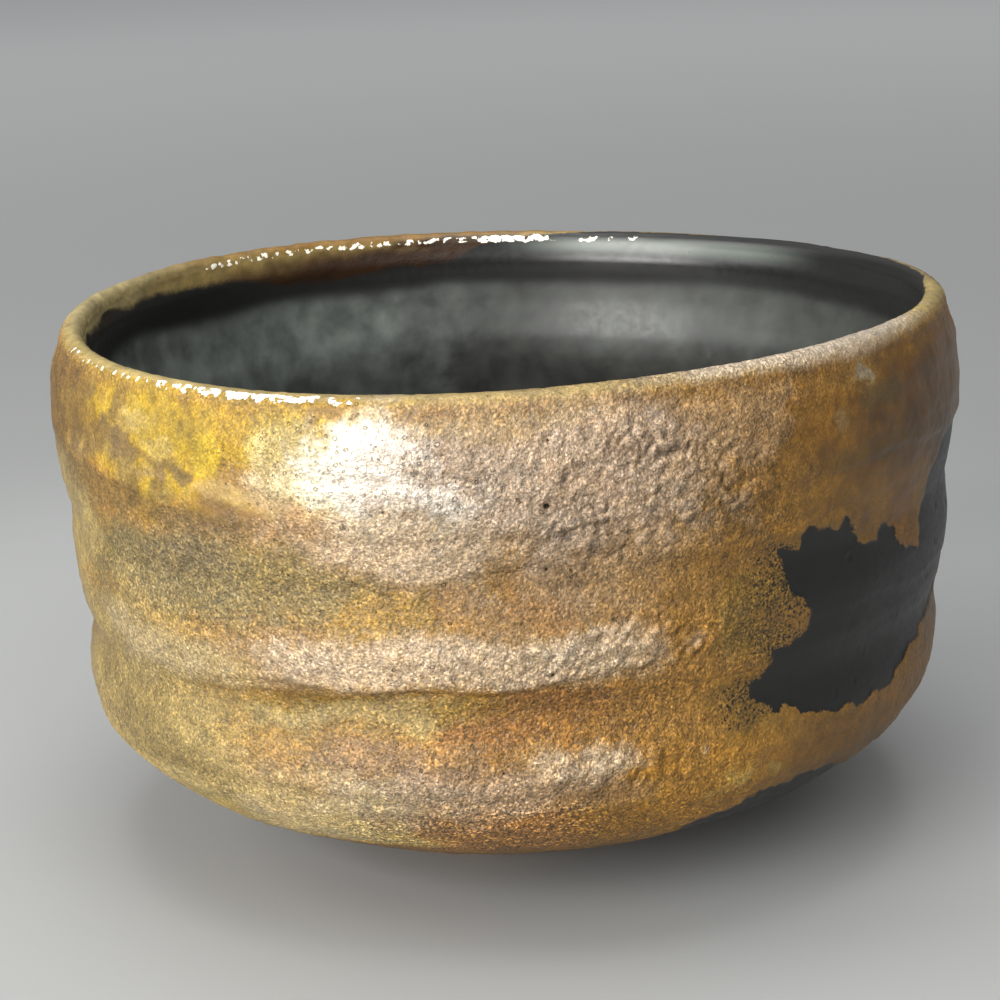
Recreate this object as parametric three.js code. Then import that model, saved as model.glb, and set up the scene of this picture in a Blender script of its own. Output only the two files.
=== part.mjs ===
// A wheel-thrown stoneware tea bowl: clay body, foot ring, and the two coats of
// fired glaze that cover it. Millimetres, +Z up. The origin is the centre of the
// foot, on the plane that the bowl stands on.
import * as THREE from "three";

// Driving dimensions of the thrown form
const bowlHeight = 74; // foot plane to the mean crest of the lip
const lipRadius = 58.3; // crest of the lip, from the axis
const lipHalfThickness = 2.3; // the lip is rounded over the wall's edge
const lipRise = 2.5; // crest of the lip above the place where its rounding starts
const wallThickness = 6.4; // clay and both coats
const floorThickness = 6.5; // clay and inside coat, at the middle of the floor
const floorCornerRadius = 26; // inside, where the wall turns into the floor
const poolRadius = 15; // shallow tea pool in the middle of the floor
const poolDepth = 0.8;
const outsideGlazeThickness = 1.1;
const insideGlazeThickness = 0.9;
const glazeSeat = 0.3; // the curved meshes of clay and glaze keep this apart
const bareBandWidth = 2.5; // clay left bare between the foot ring and the outside glaze

// Foot ring, luted to the flat underside of the body
const footHeight = 4.5;
const footRadius = 22.5; // outer edge on the standing plane
const footWidth = 5.5; // flat band that the bowl stands on
const footFlare = 1.3; // how much the ring widens, on both sides, up to the body
const footChamfer = 0.7; // worn edge of the standing band

// Handling after throwing: the wall is slightly oval and the lip rises and falls
const ovalShare = 0.0055; // of the radius, more along one line and less across it
const ovalAngle = 0.65;
const ovalStart = 8; // height where the wall starts to go out of round
const ovalFull = 30; // height from which it is oval by the full share
const lipWave = 0.72; // two crests and two hollows
const lipWaveAngle = -0.61; // direction of one crest, from +X towards +Y
const lipTilt = 0.36; // the lip is lower on the +Y side
const lipDepth = 26; // distance below the crest over which wave and tilt fade out
const bellySag = 0.65; // the belly hangs out a little towards -X
const bellyHeight = 32; // height up to which it does

// Outside of the wall, seen from the side: throwing ridges and hollows. Each ring
// has a level, the share of the way from the underside to the crest of the lip,
// and a girth, the share of the widest radius
const widestRadius = 62.2;
const outsideRings = [
  { level: 0.019, girth: 0.579 },
  { level: 0.066, girth: 0.683 },
  { level: 0.128, girth: 0.815 },
  { level: 0.191, girth: 0.9 },
  { level: 0.252, girth: 0.947 },
  { level: 0.331, girth: 0.962 },
  { level: 0.41, girth: 0.952 },
  { level: 0.486, girth: 0.97 },
  { level: 0.564, girth: 0.979 },
  { level: 0.64, girth: 0.975 },
  { level: 0.719, girth: 0.989 },
  { level: 0.813, girth: 1 },
  { level: 0.907, girth: 0.994 },
];
const insideLevels = [0.83, 0.69, 0.56]; // rings of the inside wall, above the floor corner

// Mesh resolution
const segmentsAround = 56;
const lipSteps = 6;
const cornerSteps = 7;
const poolSteps = 3;

const underside = footHeight;
const floorTop = underside + floorThickness;
const footTopRadius = footRadius + footFlare;
const undersideRadius = footTopRadius + bareBandWidth;

const heightAt = (level) => THREE.MathUtils.lerp(underside, bowlHeight, level);

// Radius of the outside at a height, between two rings
function outsideRadius(height) {
  const lower = outsideRings.findLast((ring) => heightAt(ring.level) <= height) ?? outsideRings[0];
  const upper = outsideRings.find((ring) => heightAt(ring.level) > height) ?? lower;
  const span = Math.max(heightAt(upper.level) - heightAt(lower.level), 1);
  const share = (height - heightAt(lower.level)) / span;
  return widestRadius * THREE.MathUtils.lerp(lower.girth, upper.girth, share);
}

// The finished surface as one line in the plane of radius and height: from the
// underside up the outside, over the lip, and down the inside to the axis
function outsideLine() {
  const rings = outsideRings.map(
    ({ level, girth }) => new THREE.Vector2(widestRadius * girth, heightAt(level)),
  );
  const start = new THREE.Vector2(undersideRadius, underside);
  const end = new THREE.Vector2(lipRadius + lipHalfThickness, bowlHeight - lipRise);
  return [start, ...rings, end];
}

function lipLine() {
  const points = [];
  for (let i = 1; i < lipSteps; i++) {
    const angle = (Math.PI * i) / lipSteps;
    points.push(
      new THREE.Vector2(
        lipRadius + lipHalfThickness * Math.cos(angle),
        bowlHeight - lipRise + lipRise * Math.sin(angle),
      ),
    );
  }
  return points;
}

function insideLine() {
  const cornerTop = floorTop + floorCornerRadius;
  const heights = [...insideLevels.map(heightAt), cornerTop];
  const points = [new THREE.Vector2(lipRadius - lipHalfThickness, bowlHeight - lipRise)];
  for (const height of heights) {
    points.push(new THREE.Vector2(outsideRadius(height) - wallThickness, height));
  }
  const centre = points.at(-1).x - floorCornerRadius;
  for (let i = 1; i <= cornerSteps; i++) {
    const angle = ((Math.PI / 2) * i) / cornerSteps;
    points.push(
      new THREE.Vector2(
        centre + floorCornerRadius * Math.cos(angle),
        cornerTop - floorCornerRadius * Math.sin(angle),
      ),
    );
  }
  for (let i = 0; i <= poolSteps; i++) {
    const radius = poolRadius * (1 - i / poolSteps);
    const fall = (1 - Math.cos((Math.PI * i) / poolSteps)) / 2;
    points.push(new THREE.Vector2(radius, floorTop - poolDepth * fall));
  }
  return points;
}

// Outward normal of a line at one of its points
function normalAt(line, i) {
  const before = line[Math.max(i - 1, 0)];
  const after = line[Math.min(i + 1, line.length - 1)];
  const along = after.clone().sub(before).normalize();
  return new THREE.Vector2(along.y, -along.x);
}

const outside = outsideLine();
const glazed = [...outside, ...lipLine(), ...insideLine()];
const lipEnd = outside.length + lipSteps - 1; // the coats meet on the inner side of the lip
const lastPoint = glazed.length - 1;

// A line that runs a depth below the glazed surface
function below(depthAt) {
  return glazed.map((point, i) => {
    if (i === lastPoint) return new THREE.Vector2(0, point.y - depthAt(i));
    return point.clone().addScaledVector(normalAt(glazed, i), -depthAt(i));
  });
}

const coatThickness = (i) => (i <= lipEnd ? outsideGlazeThickness : insideGlazeThickness);
const claySurface = below(coatThickness);
const coatBack = below((i) => coatThickness(i) - glazeSeat);

// Squeezes the wall oval, lets the belly sag and the lip rise and fall
function handle(geometry) {
  const position = geometry.getAttribute("position");
  for (let i = 0; i < position.count; i++) {
    const [x, y, z] = [position.getX(i), position.getY(i), position.getZ(i)];
    const angle = Math.atan2(y, x);
    const oval = THREE.MathUtils.smoothstep(z, ovalStart, ovalFull);
    const stretch = 1 + ovalShare * oval * Math.cos(2 * (angle - ovalAngle));
    const nearLip = THREE.MathUtils.smoothstep(z, bowlHeight - lipDepth, bowlHeight);
    const wave = lipWave * Math.cos(2 * (angle - lipWaveAngle)) - lipTilt * Math.sin(angle);
    const sagShare = THREE.MathUtils.clamp((z - footHeight) / (bellyHeight - footHeight), 0, 1);
    const sag = bellySag * Math.sin(Math.PI * sagShare);
    position.setXYZ(i, x * stretch - sag, y * stretch, z + wave * nearLip);
  }
  geometry.computeVertexNormals();
  return geometry;
}

// Turns a line of radius and height about the bowl's axis
function turn(line) {
  const geometry = new THREE.LatheGeometry(line, segmentsAround);
  geometry.rotateX(Math.PI / 2);
  return handle(geometry);
}

function clayBody() {
  const base = [new THREE.Vector2(0, underside), new THREE.Vector2(undersideRadius, underside)];
  return turn([...base, ...claySurface.slice(1)]);
}

function outsideGlaze() {
  const back = coatBack.slice(1, lipEnd + 1).reverse();
  return turn([...glazed.slice(1, lipEnd + 1), ...back, glazed[1]]);
}

function insideGlaze() {
  const share = glazeSeat / glazed[lipEnd].distanceTo(glazed[lipEnd + 1]);
  const start = glazed[lipEnd].clone().lerp(glazed[lipEnd + 1], share);
  const backStart = coatBack[lipEnd].clone().lerp(coatBack[lipEnd + 1], share);
  const back = [backStart, ...coatBack.slice(lipEnd + 1)].reverse();
  return turn([...back, start, ...glazed.slice(lipEnd + 1)]);
}

function footRing() {
  const inner = footRadius - footWidth;
  const line = [
    new THREE.Vector2(inner + footChamfer, 0),
    new THREE.Vector2(footRadius - footChamfer, 0),
    new THREE.Vector2(footRadius, footChamfer),
    new THREE.Vector2(footTopRadius, underside),
    new THREE.Vector2(inner - footFlare, underside),
    new THREE.Vector2(inner, footChamfer),
  ];
  line.push(line[0].clone());
  return turn(line);
}

function piece(name, geometry, color, roughness, metalness) {
  const material = new THREE.MeshStandardMaterial({ color, roughness, metalness });
  const mesh = new THREE.Mesh(geometry, material);
  mesh.name = name;
  return mesh;
}

const bowl = new THREE.Group();
bowl.add(
  piece("clay_body", clayBody(), 0x8a6f57, 0.9, 0),
  piece("foot_ring", footRing(), 0x8a6f57, 0.9, 0),
  piece("outside_glaze", outsideGlaze(), 0x9c7338, 0.45, 0.35),
  piece("inside_glaze", insideGlaze(), 0x2e302e, 0.3, 0),
);

export default bowl;
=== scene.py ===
"""A wheel-thrown stoneware tea bowl: gold and olive ash glaze outside, with a black
patch, black glaze inside, and a bare foot. Lengths are in mm until the meshes are made.
"""

import math

import bpy
import numpy as np
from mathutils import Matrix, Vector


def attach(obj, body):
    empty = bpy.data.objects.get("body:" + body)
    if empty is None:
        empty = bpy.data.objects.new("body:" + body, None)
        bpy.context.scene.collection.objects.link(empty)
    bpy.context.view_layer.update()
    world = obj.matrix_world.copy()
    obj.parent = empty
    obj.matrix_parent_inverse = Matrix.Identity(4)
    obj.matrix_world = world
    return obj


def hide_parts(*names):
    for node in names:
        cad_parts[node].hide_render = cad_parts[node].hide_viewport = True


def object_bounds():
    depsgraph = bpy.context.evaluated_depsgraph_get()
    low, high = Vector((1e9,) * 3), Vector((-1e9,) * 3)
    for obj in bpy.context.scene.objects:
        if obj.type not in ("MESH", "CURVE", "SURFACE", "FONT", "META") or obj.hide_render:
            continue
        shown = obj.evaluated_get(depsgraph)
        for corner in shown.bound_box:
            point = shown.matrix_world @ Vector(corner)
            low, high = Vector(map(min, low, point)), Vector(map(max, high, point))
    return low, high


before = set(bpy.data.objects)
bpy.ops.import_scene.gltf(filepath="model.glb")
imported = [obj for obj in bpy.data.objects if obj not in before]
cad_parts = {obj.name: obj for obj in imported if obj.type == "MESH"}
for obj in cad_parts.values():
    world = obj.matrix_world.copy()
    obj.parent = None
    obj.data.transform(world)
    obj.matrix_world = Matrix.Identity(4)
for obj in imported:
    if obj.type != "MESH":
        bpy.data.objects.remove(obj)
cad_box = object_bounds()
MM = 0.001

# the thrown form
BOWL_HEIGHT, WIDEST_RADIUS, WALL = 74.0, 62.2, 6.4
LIP_RADIUS, LIP_HALF_THICKNESS, LIP_RISE = 58.3, 2.3, 2.5
UNDERSIDE, FLOOR_TOP, CORNER_RADIUS = 4.5, 11.0, 26.0
POOL_RADIUS, POOL_DEPTH = 15.0, 0.8
FOOT_RADIUS, FOOT_WIDTH, FOOT_FLARE = 22.5, 5.5, 1.3
UNDERSIDE_RADIUS = 26.3
GLAZE_BACK = 0.85  # how far under the surface the back of a piece of glaze lies
CLAY_UNDER, CLAY_HIDDEN = 1.02, 1.05  # the same for the clay, bare and under the glaze
LINE_STEP = 0.05
INSIDE_LEVELS = (0.56, 0.69, 0.83)  # where the inside follows the outside
JOINT_RADIUS, JOINT_HEIGHT = 56.0, 71.5  # where the outer and the inner glaze meet
# (share of the height above the underside, share of the widest radius)
RINGS = [
    (0.019, 0.579), (0.066, 0.683), (0.128, 0.815), (0.191, 0.9), (0.252, 0.947),
    (0.331, 0.962), (0.41, 0.952), (0.486, 0.97), (0.564, 0.979), (0.64, 0.975),
    (0.719, 0.989), (0.813, 1.0), (0.907, 0.994),
]


def smooth(value, low, high):
    """0 below low, 1 above high, and an even curve between them; high may be the lesser."""
    share = np.clip((value - low) / (high - low), 0.0, 1.0)
    return share * share * (3.0 - 2.0 * share)


def curve(x, y, at):
    """A smooth line through points, with no swing beyond them."""
    x, y = np.asarray(x, float), np.asarray(y, float)
    step = np.diff(x)
    slope = np.diff(y) / step
    tangent = np.zeros_like(y)
    tangent[0], tangent[-1] = slope[0], slope[-1]
    same = slope[:-1] * slope[1:] > 0
    one, two = 2 * step[1:] + step[:-1], step[1:] + 2 * step[:-1]
    mean = (one + two) / (one / np.where(same, slope[:-1], 1) + two / np.where(same, slope[1:], 1))
    tangent[1:-1] = np.where(same, mean, 0.0)
    i = np.clip(np.searchsorted(x, at, side="right") - 1, 0, len(x) - 2)
    t = np.clip((at - x[i]) / step[i], 0.0, 1.0)
    return (
        y[i] * (1 + 2 * t) * (1 - t) ** 2
        + tangent[i] * step[i] * t * (1 - t) ** 2
        + y[i + 1] * t * t * (3 - 2 * t)
        + tangent[i + 1] * step[i] * t * t * (t - 1)
    )


def around(points, theta):
    """A value given at some angles in degrees, smoothly joined right round the bowl."""
    ordered = sorted(points)
    angle = np.array([a for a, _ in ordered], float)
    value = np.array([v for _, v in ordered], float)
    angle = np.concatenate([angle[-2:] - 360, angle, angle[:2] + 360])
    value = np.concatenate([value[-2:], value, value[:2]])
    degrees = (np.degrees(theta) + 180.0) % 360.0 - 180.0
    return curve(angle, value, degrees)


def ring_height(level):
    return UNDERSIDE + level * (BOWL_HEIGHT - UNDERSIDE)


ring_z = [ring_height(level) for level, _ in RINGS] + [BOWL_HEIGHT - LIP_RISE]
ring_r = [girth * WIDEST_RADIUS for _, girth in RINGS] + [LIP_RADIUS + LIP_HALF_THICKNESS]


def section_line():
    """The glazed surface from its lower edge, up, over the lip and in to the axis."""
    z = np.arange(ring_z[0], ring_z[-1], LINE_STEP)
    outside = np.stack([curve(ring_z, ring_r, z), z], axis=1)
    turn = np.linspace(0, math.pi, 160)[:-1]
    lip = np.stack([
        LIP_RADIUS + LIP_HALF_THICKNESS * np.cos(turn),
        BOWL_HEIGHT - LIP_RISE + LIP_RISE * np.sin(turn),
    ], axis=1)
    corner_top = FLOOR_TOP + CORNER_RADIUS
    levels = [corner_top] + [ring_height(level) for level in INSIDE_LEVELS]
    radii = [float(curve(ring_z, ring_r, level)) - WALL for level in levels]
    levels.append(BOWL_HEIGHT - LIP_RISE)
    radii.append(LIP_RADIUS - LIP_HALF_THICKNESS)
    z = np.arange(levels[-1], corner_top, -LINE_STEP)
    wall = np.stack([curve(levels, radii, z), z], axis=1)
    turn = np.linspace(0, math.pi / 2, 800)[:-1]
    centre = radii[0] - CORNER_RADIUS
    corner = np.stack([
        centre + CORNER_RADIUS * np.cos(turn),
        corner_top - CORNER_RADIUS * np.sin(turn),
    ], axis=1)
    r = np.arange(centre, 0, -LINE_STEP)
    pool = POOL_DEPTH * (1 - smooth(r, 0, POOL_RADIUS))
    floor = np.stack([r, FLOOR_TOP - pool], axis=1)
    end = np.array([[0.0, FLOOR_TOP - POOL_DEPTH]])
    return np.concatenate([outside, lip, wall, corner, floor, end])


LINE = section_line()
LINE_ARC = np.concatenate([[0], np.cumsum(np.linalg.norm(np.diff(LINE, axis=0), axis=1))])
CREST_ARC = LINE_ARC[np.argmax(LINE[:, 1])]
joint_gap = np.hypot(LINE[:, 0] - JOINT_RADIUS, LINE[:, 1] - JOINT_HEIGHT)
JOINT_ARC = float(LINE_ARC[np.argmin(joint_gap)])
heading = np.gradient(LINE, LINE_ARC, axis=0)
for _ in range(40):  # evens the bends out, so that the normals turn smoothly
    heading[1:-1] = (heading[:-2] + heading[1:-1] * 2 + heading[2:]) / 4
LINE_NORMAL = np.stack([heading[:, 1], -heading[:, 0]], axis=1)
LINE_NORMAL /= np.linalg.norm(LINE_NORMAL, axis=1)[:, None]
LINE_NORMAL[-1] = (0, 1)


def arc_at_outside(height):
    """How far along the section line the outside reaches a height."""
    rising = LINE_ARC <= CREST_ARC
    return np.interp(height, LINE[rising, 1], LINE_ARC[rising])


# How the round form is pressed out of true; angles are in radians
OVAL_SHARE, OVAL_ANGLE, OVAL_START, OVAL_FULL = 0.0055, 0.65, 8.0, 30.0
LIP_WAVE, LIP_WAVE_ANGLE, LIP_TILT, LIP_DEPTH = 0.72, -0.61, 0.36, 26.0
BELLY_SAG, BELLY_HEIGHT = 0.65, 32.0


def lip_lift(theta, z):
    """How far the wave and the tilt of the lip raise a point."""
    near_lip = smooth(z, BOWL_HEIGHT - LIP_DEPTH, BOWL_HEIGHT)
    wave = LIP_WAVE * np.cos(2 * (theta - LIP_WAVE_ANGLE)) - LIP_TILT * np.sin(theta)
    return wave * near_lip


def handle(theta, r, z):
    """Squeezes the wall oval, lets the belly sag and the lip rise and fall."""
    oval = smooth(z, OVAL_START, OVAL_FULL)
    stretch = 1 + OVAL_SHARE * oval * np.cos(2 * (theta - OVAL_ANGLE))
    share = np.clip((z - UNDERSIDE) / (BELLY_HEIGHT - UNDERSIDE), 0, 1)
    x = r * np.cos(theta) * stretch - BELLY_SAG * np.sin(math.pi * share)
    y = r * np.sin(theta) * stretch
    return np.stack([x, y, z + lip_lift(theta, z)], axis=-1)


# random fields
def scatter(ix, iy, iz, seed):
    """A repeatable random number from 0 to 1 for each whole-numbered place."""
    h = ix.astype(np.uint32) * np.uint32(0x8DA6B343)
    h ^= iy.astype(np.uint32) * np.uint32(0xD8163841)
    h ^= iz.astype(np.uint32) * np.uint32(0xCB1AB31F)
    h ^= np.uint32((seed * 0x9E3779B1) & 0xFFFFFFFF)
    h ^= h >> np.uint32(15)
    h *= np.uint32(0x2C1B3C6D)
    h ^= h >> np.uint32(12)
    h *= np.uint32(0x297A2D39)
    h ^= h >> np.uint32(15)
    return h.astype(np.float64) / 4294967295.0


TURNED = np.array([[0.36, 0.48, -0.8], [-0.8, 0.6, 0.0], [0.48, 0.64, 0.6]])


def noise(place, size, seed):
    """A smooth random field from -1 to 1, whose bumps are about size mm across."""
    q = (place / np.asarray(size, float)) @ TURNED + seed * 17.3
    low = np.floor(q)
    f = q - low
    f = f * f * f * (f * (f * 6 - 15) + 10)
    i = low.astype(np.int64)
    total = np.zeros(q.shape[:-1])
    for dx in (0, 1):
        for dy in (0, 1):
            for dz in (0, 1):
                weight = (
                    (f[..., 0] if dx else 1 - f[..., 0])
                    * (f[..., 1] if dy else 1 - f[..., 1])
                    * (f[..., 2] if dz else 1 - f[..., 2])
                )
                total += weight * scatter(i[..., 0] + dx, i[..., 1] + dy, i[..., 2] + dz, seed)
    return total * 2 - 1


def layered(place, size, seed, layers=3, fade=0.5):
    """Noise in layers, each half the size of the last."""
    total, weight, whole = 0, 1.0, 0.0
    for k in range(layers):
        total = total + weight * noise(place, np.asarray(size, float) / 2**k, seed + 31 * k)
        whole += weight
        weight *= fade
    return total / whole


def cells(place, size, seed):
    """Distance to the nearest of scattered points, in mm, and that point's random number."""
    q = place / size
    low = np.floor(q).astype(np.int64)
    nearest = np.full(q.shape[:-1], 9.0)
    chance = np.zeros(q.shape[:-1])
    for dx in (-1, 0, 1):
        for dy in (-1, 0, 1):
            for dz in (-1, 0, 1):
                ix, iy, iz = low[..., 0] + dx, low[..., 1] + dy, low[..., 2] + dz
                away = np.sqrt(
                    (ix + scatter(ix, iy, iz, seed) - q[..., 0]) ** 2
                    + (iy + scatter(ix, iy, iz, seed + 1) - q[..., 1]) ** 2
                    + (iz + scatter(ix, iy, iz, seed + 2) - q[..., 2]) ** 2
                )
                closer = away < nearest
                nearest = np.where(closer, away, nearest)
                chance = np.where(closer, scatter(ix, iy, iz, seed + 3), chance)
    return nearest * size, chance


# ledges, patches and pinholes
# Throwing ledges: the wall stands proud above the line and is cut back below it.
# Each has (angle in degrees, height, depth of the step) round the bowl.
LEDGE_UPPER = [
    (-175, 60.2, 0.08), (-152, 59.6, 0.1), (-139, 59.1, 0.12), (-126, 57.5, 0.14),
    (-119, 57.2, 0.17), (-113, 57.8, 0.2), (-104, 57.1, 0.17), (-96, 57.5, 0.16),
    (-88, 57.6, 0.24), (-82, 58.3, 0.26), (-75, 59.1, 0.22), (-70, 59.2, 0.14),
    (-55, 59.6, 0.12), (-39, 59.8, 0.12), (-22, 58.7, 0.2), (10, 58.3, 0.3),
    (50, 57.2, 0.35), (95, 57.8, 0.3), (140, 59.2, 0.35),
]
LEDGE_MIDDLE = [
    (-178, 35.2, 0.12), (-162, 34.6, 0.15), (-145, 36.0, 0.12), (-128, 37.2, 0.17),
    (-115, 37.8, 0.32), (-106, 37.8, 0.4), (-97, 37.7, 0.36), (-86, 38.4, 0.3),
    (-80, 39.4, 0.22), (-70, 40.5, 0.1), (-50, 41.0, 0.06), (0, 39.0, 0.2),
    (50, 37.0, 0.4), (110, 36.2, 0.35), (150, 35.8, 0.4),
]
LEDGE_BRANCH = [
    (-145, 34.4, 0.0), (-126, 35.8, 0.3), (-112, 36.5, 0.35), (-104, 37.1, 0.2),
    (-97, 37.6, 0.0), (40, 33.0, 0.0), (90, 32.5, 0.3), (130, 33.5, 0.2), (160, 34.0, 0.0),
]
LEDGE_LOWER = [
    (-160, 25.0, 0.08), (-125, 24.0, 0.2), (-108, 23.6, 0.2), (-96, 24.0, 0.18),
    (-86, 25.2, 0.22), (-78, 26.6, 0.3), (-72, 27.8, 0.2), (-64, 29.5, 0.0),
    (30, 25.0, 0.0), (70, 26.0, 0.3), (120, 25.0, 0.3), (170, 25.4, 0.15),
]
LEDGE_FAINT = [
    (-165, 29.2, 0.12), (-151, 28.9, 0.16), (-117, 30.2, 0.22), (-104, 29.2, 0.22),
    (-95, 29.6, 0.1), (-85, 30.2, 0.0), (20, 30.0, 0.0), (60, 31.0, 0.15),
    (120, 30.0, 0.2), (160, 29.0, 0.15),
]
LEDGE_HIGH = [
    (-150, 50.0, 0.0), (-128, 50.5, 0.08), (-104, 51.2, 0.12), (-92, 53.0, 0.2),
    (-84, 54.6, 0.18), (-76, 55.4, 0.1), (-66, 56.0, 0.0), (0, 50.0, 0.05),
    (60, 48.0, 0.2), (120, 47.0, 0.2), (170, 48.0, 0.1),
]
# (line, width of the step, reach above it, reach below it)
LEDGES = [
    (LEDGE_UPPER, 0.5, 3.8, 3.0),
    (LEDGE_MIDDLE, 0.42, 4.5, 3.2),
    (LEDGE_BRANCH, 0.45, 2.0, 2.5),
    (LEDGE_LOWER, 0.6, 3.0, 3.2),
    (LEDGE_FAINT, 0.6, 2.2, 2.4),
    (LEDGE_HIGH, 0.5, 2.2, 2.2),
]
# How far the inside stands in from the smooth form: (mm past the crest of the lip, mm)
INSIDE_SWELL = [
    (0, 0.0), (1.2, -0.14), (2.4, -0.42), (3.3, -0.5), (4.4, -0.3), (6.1, 0.14), (7.4, 0.1),
    (9.9, -0.14), (12.2, -0.04), (15.5, 0.36), (19.3, 0.78), (21.6, 0.78), (28.5, 0.3), (34, 0.1),
    (39, 0.25), (46, 0.05), (54, 0.15), (64, 0.0), (130, 0.0),
]

# Edge of each patch of black glaze, in order round it: (angle, height)
PATCH = [
    (-62, 34.8), (-60, 34.8), (-59, 37.4), (-58.7, 38.6), (-56.5, 39), (-55, 39.7),
    (-53.3, 40.6), (-53.5, 42.6), (-54.4, 43.9), (-56.9, 45.5), (-57.3, 47.2), (-57.3, 49.2),
    (-58.3, 50.9), (-55.3, 50.7), (-55.1, 52.4), (-54.3, 53.3), (-52.3, 52.6), (-48.8, 51.7),
    (-48.1, 53.9), (-45.9, 50.6), (-44.2, 49.1), (-40.7, 47.9), (-40.2, 50.1), (-38.7, 50.5),
    (-36.8, 48.8), (-35.3, 46.4), (-30.6, 44.6), (-28.9, 49.2), (-27.5, 54), (-24, 57.5),
    (-16, 58.3), (-6, 57.4), (3, 58), (9, 55.2), (14, 52), (13, 47.5), (16, 44), (12, 41),
    (5, 38.6), (-3, 38.4), (-10, 37.4), (-17, 34), (-24, 31.7), (-29.6, 30.5), (-33.8, 28.4),
    (-35.7, 27.4), (-39.6, 27.7), (-41, 26.8), (-43.9, 26.9), (-45.8, 27.9), (-47.4, 27.6),
    (-51, 28), (-54.8, 29.7), (-57.8, 30.5), (-59.9, 31.7), (-61.5, 33),
]
SECOND_PATCH = [
    (92, 44), (99, 46), (103, 50.5), (109, 47.2), (117, 49), (121, 44.6), (128, 42), (126, 37.5),
    (119, 35), (112, 31.6), (106, 33), (99, 31), (95, 34.6), (90, 38),
]
MM_PER_DEGREE = 60.5 * math.pi / 180


def depth_inside(edge, angle, height):
    """Distance to the edge of a patch in mm, more than 0 inside it."""
    x, y = angle * MM_PER_DEGREE, height
    best = np.full(x.shape, 1e9)
    inside = np.zeros(x.shape, bool)
    for (a0, z0), (a1, z1) in zip(edge, edge[1:] + edge[:1]):
        x0, x1 = a0 * MM_PER_DEGREE, a1 * MM_PER_DEGREE
        dx, dy = x1 - x0, z1 - z0
        t = np.clip(((x - x0) * dx + (y - z0) * dy) / (dx * dx + dy * dy), 0, 1)
        best = np.minimum(best, np.hypot(x - x0 - t * dx, y - z0 - t * dy))
        crosses = (z0 > y) != (z1 > y)
        with np.errstate(divide="ignore", invalid="ignore"):
            inside ^= crosses & (x < dx * (y - z0) / (dy if dy else 1e-9) + x0)
    return np.where(inside, best, -best)


def angle_between(angle, centre):
    return (angle - centre + 180.0) % 360.0 - 180.0


def spot(angle, height, centre, half):
    """1 in the middle of an oval of (angle, height), falling to 0 past its edge."""
    far = np.hypot(angle_between(angle, centre[0]) / half[0], (height - centre[1]) / half[1])
    return 1 - smooth(far, 0.55, 1.25)


def span(angle, centre, half):
    """1 in the middle of a range of angles, falling to 0 past its ends."""
    return spot(angle, 0, (centre, 0), (half, 1))


def overlay(ovals, angle, height):
    """Ovals of the lists below added up, to 1 at most."""
    share = 0
    for a, z, wide, tall, strength in ovals:
        share = share + strength * spot(angle, height, (a, z), (wide, tall))
    return np.minimum(share, 1)


# (angle, height, half width in degrees, half height in mm, strength)
FOLDED = [
    (-78, 62, 12, 9, 1.0), (-92, 61, 9, 8, 0.35), (-64, 61, 7, 8, 0.5), (-76, 52, 6, 3, 0.5),
    (72, 60, 26, 9, 0.6), (168, 62, 10, 7, 0.4),
]
CURDLED = [
    (-74, 63, 12, 9, 0.8), (-66, 60, 6, 6, 0.6), (-76, 42.5, 11, 4, 1.0), (-92, 41, 9, 3.4, 0.7),
    (-112, 41.5, 12, 3.2, 0.4), (-77, 27, 10, 4, 1.0), (-104, 27, 14, 3, 0.4),
    (-90, 65, 8, 6, 0.35), (-134, 43, 12, 3, 0.4), (80, 62, 34, 9, 0.6), (60, 41, 20, 4, 0.5),
    (150, 40, 16, 4, 0.5),
]

# (angle, height, radius, depth)
PINHOLES = [
    (-86.4, 60.8, 0.55, 0.42), (-86.6, 52.8, 0.3, 0.3), (-86.3, 39.8, 0.35, 0.3),
    (-91.9, 27.2, 0.3, 0.3), (-86.0, 68.6, 0.26, 0.2), (64, 63, 0.4, 0.35),
    (150, 41, 0.35, 0.3), (118, 66, 0.3, 0.3), (-104, 60.4, 0.24, 0.2), (22, 56, 0.3, 0.3),
]


def darkness(theta, crest, place):
    """Distance in mm into the black glaze; less than 0 where ash glaze covers it."""
    angle, height = np.degrees(theta), place[..., 2]
    rough = 0.55 * noise(place, 2.3, 61) + 0.3 * noise(place, 0.9, 62)
    patch = depth_inside(PATCH, angle, height) + rough
    patch = np.maximum(patch, depth_inside(SECOND_PATCH, angle, height) + 2.2 * rough)
    fringe = spot(angle, height, (-60, 45), (6, 8)) + spot(angle, height, (-63, 32), (5, 4))
    fringe = np.minimum(fringe + spot(angle, height, (112, 32), (16, 6)), 1)
    sparse = -0.015 * np.maximum(-patch, 0) * (2 - fringe) / np.maximum(fringe, 0.02)
    patch = np.where(patch < 0, np.maximum(patch, sparse), patch)
    limit = around([
        (-100, -6), (-77, -3), (-71, 8), (-66, 13.8), (-61, 17), (-56, 18.4), (-49, 18.6),
        (-38, 17), (-25, 17), (-8, 14), (8, 4), (30, -6), (80, -6), (100, 6), (118, 15), (135, 13),
        (150, 2), (165, -6),
    ], theta)
    under = 0.8 * (limit - height) + 1.6 * rough
    outside = np.maximum(patch, under)
    outside = np.where(crest < -1.5, outside, -9.0)
    edge = around([
        (-180, 4.0), (-140, 3.8), (-90, 3.2), (-50, 2.6), (-20, 1.6), (10, 0.4), (40, -0.5),
        (66, -0.2), (80, 1.0), (90, 2.6), (100, 5.6), (122, 7.2), (140, 5.4), (160, 4.2),
    ], theta)
    return np.maximum(outside, crest - edge + 0.5 * rough + 0.5 * noise(place, 6, 63))


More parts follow.
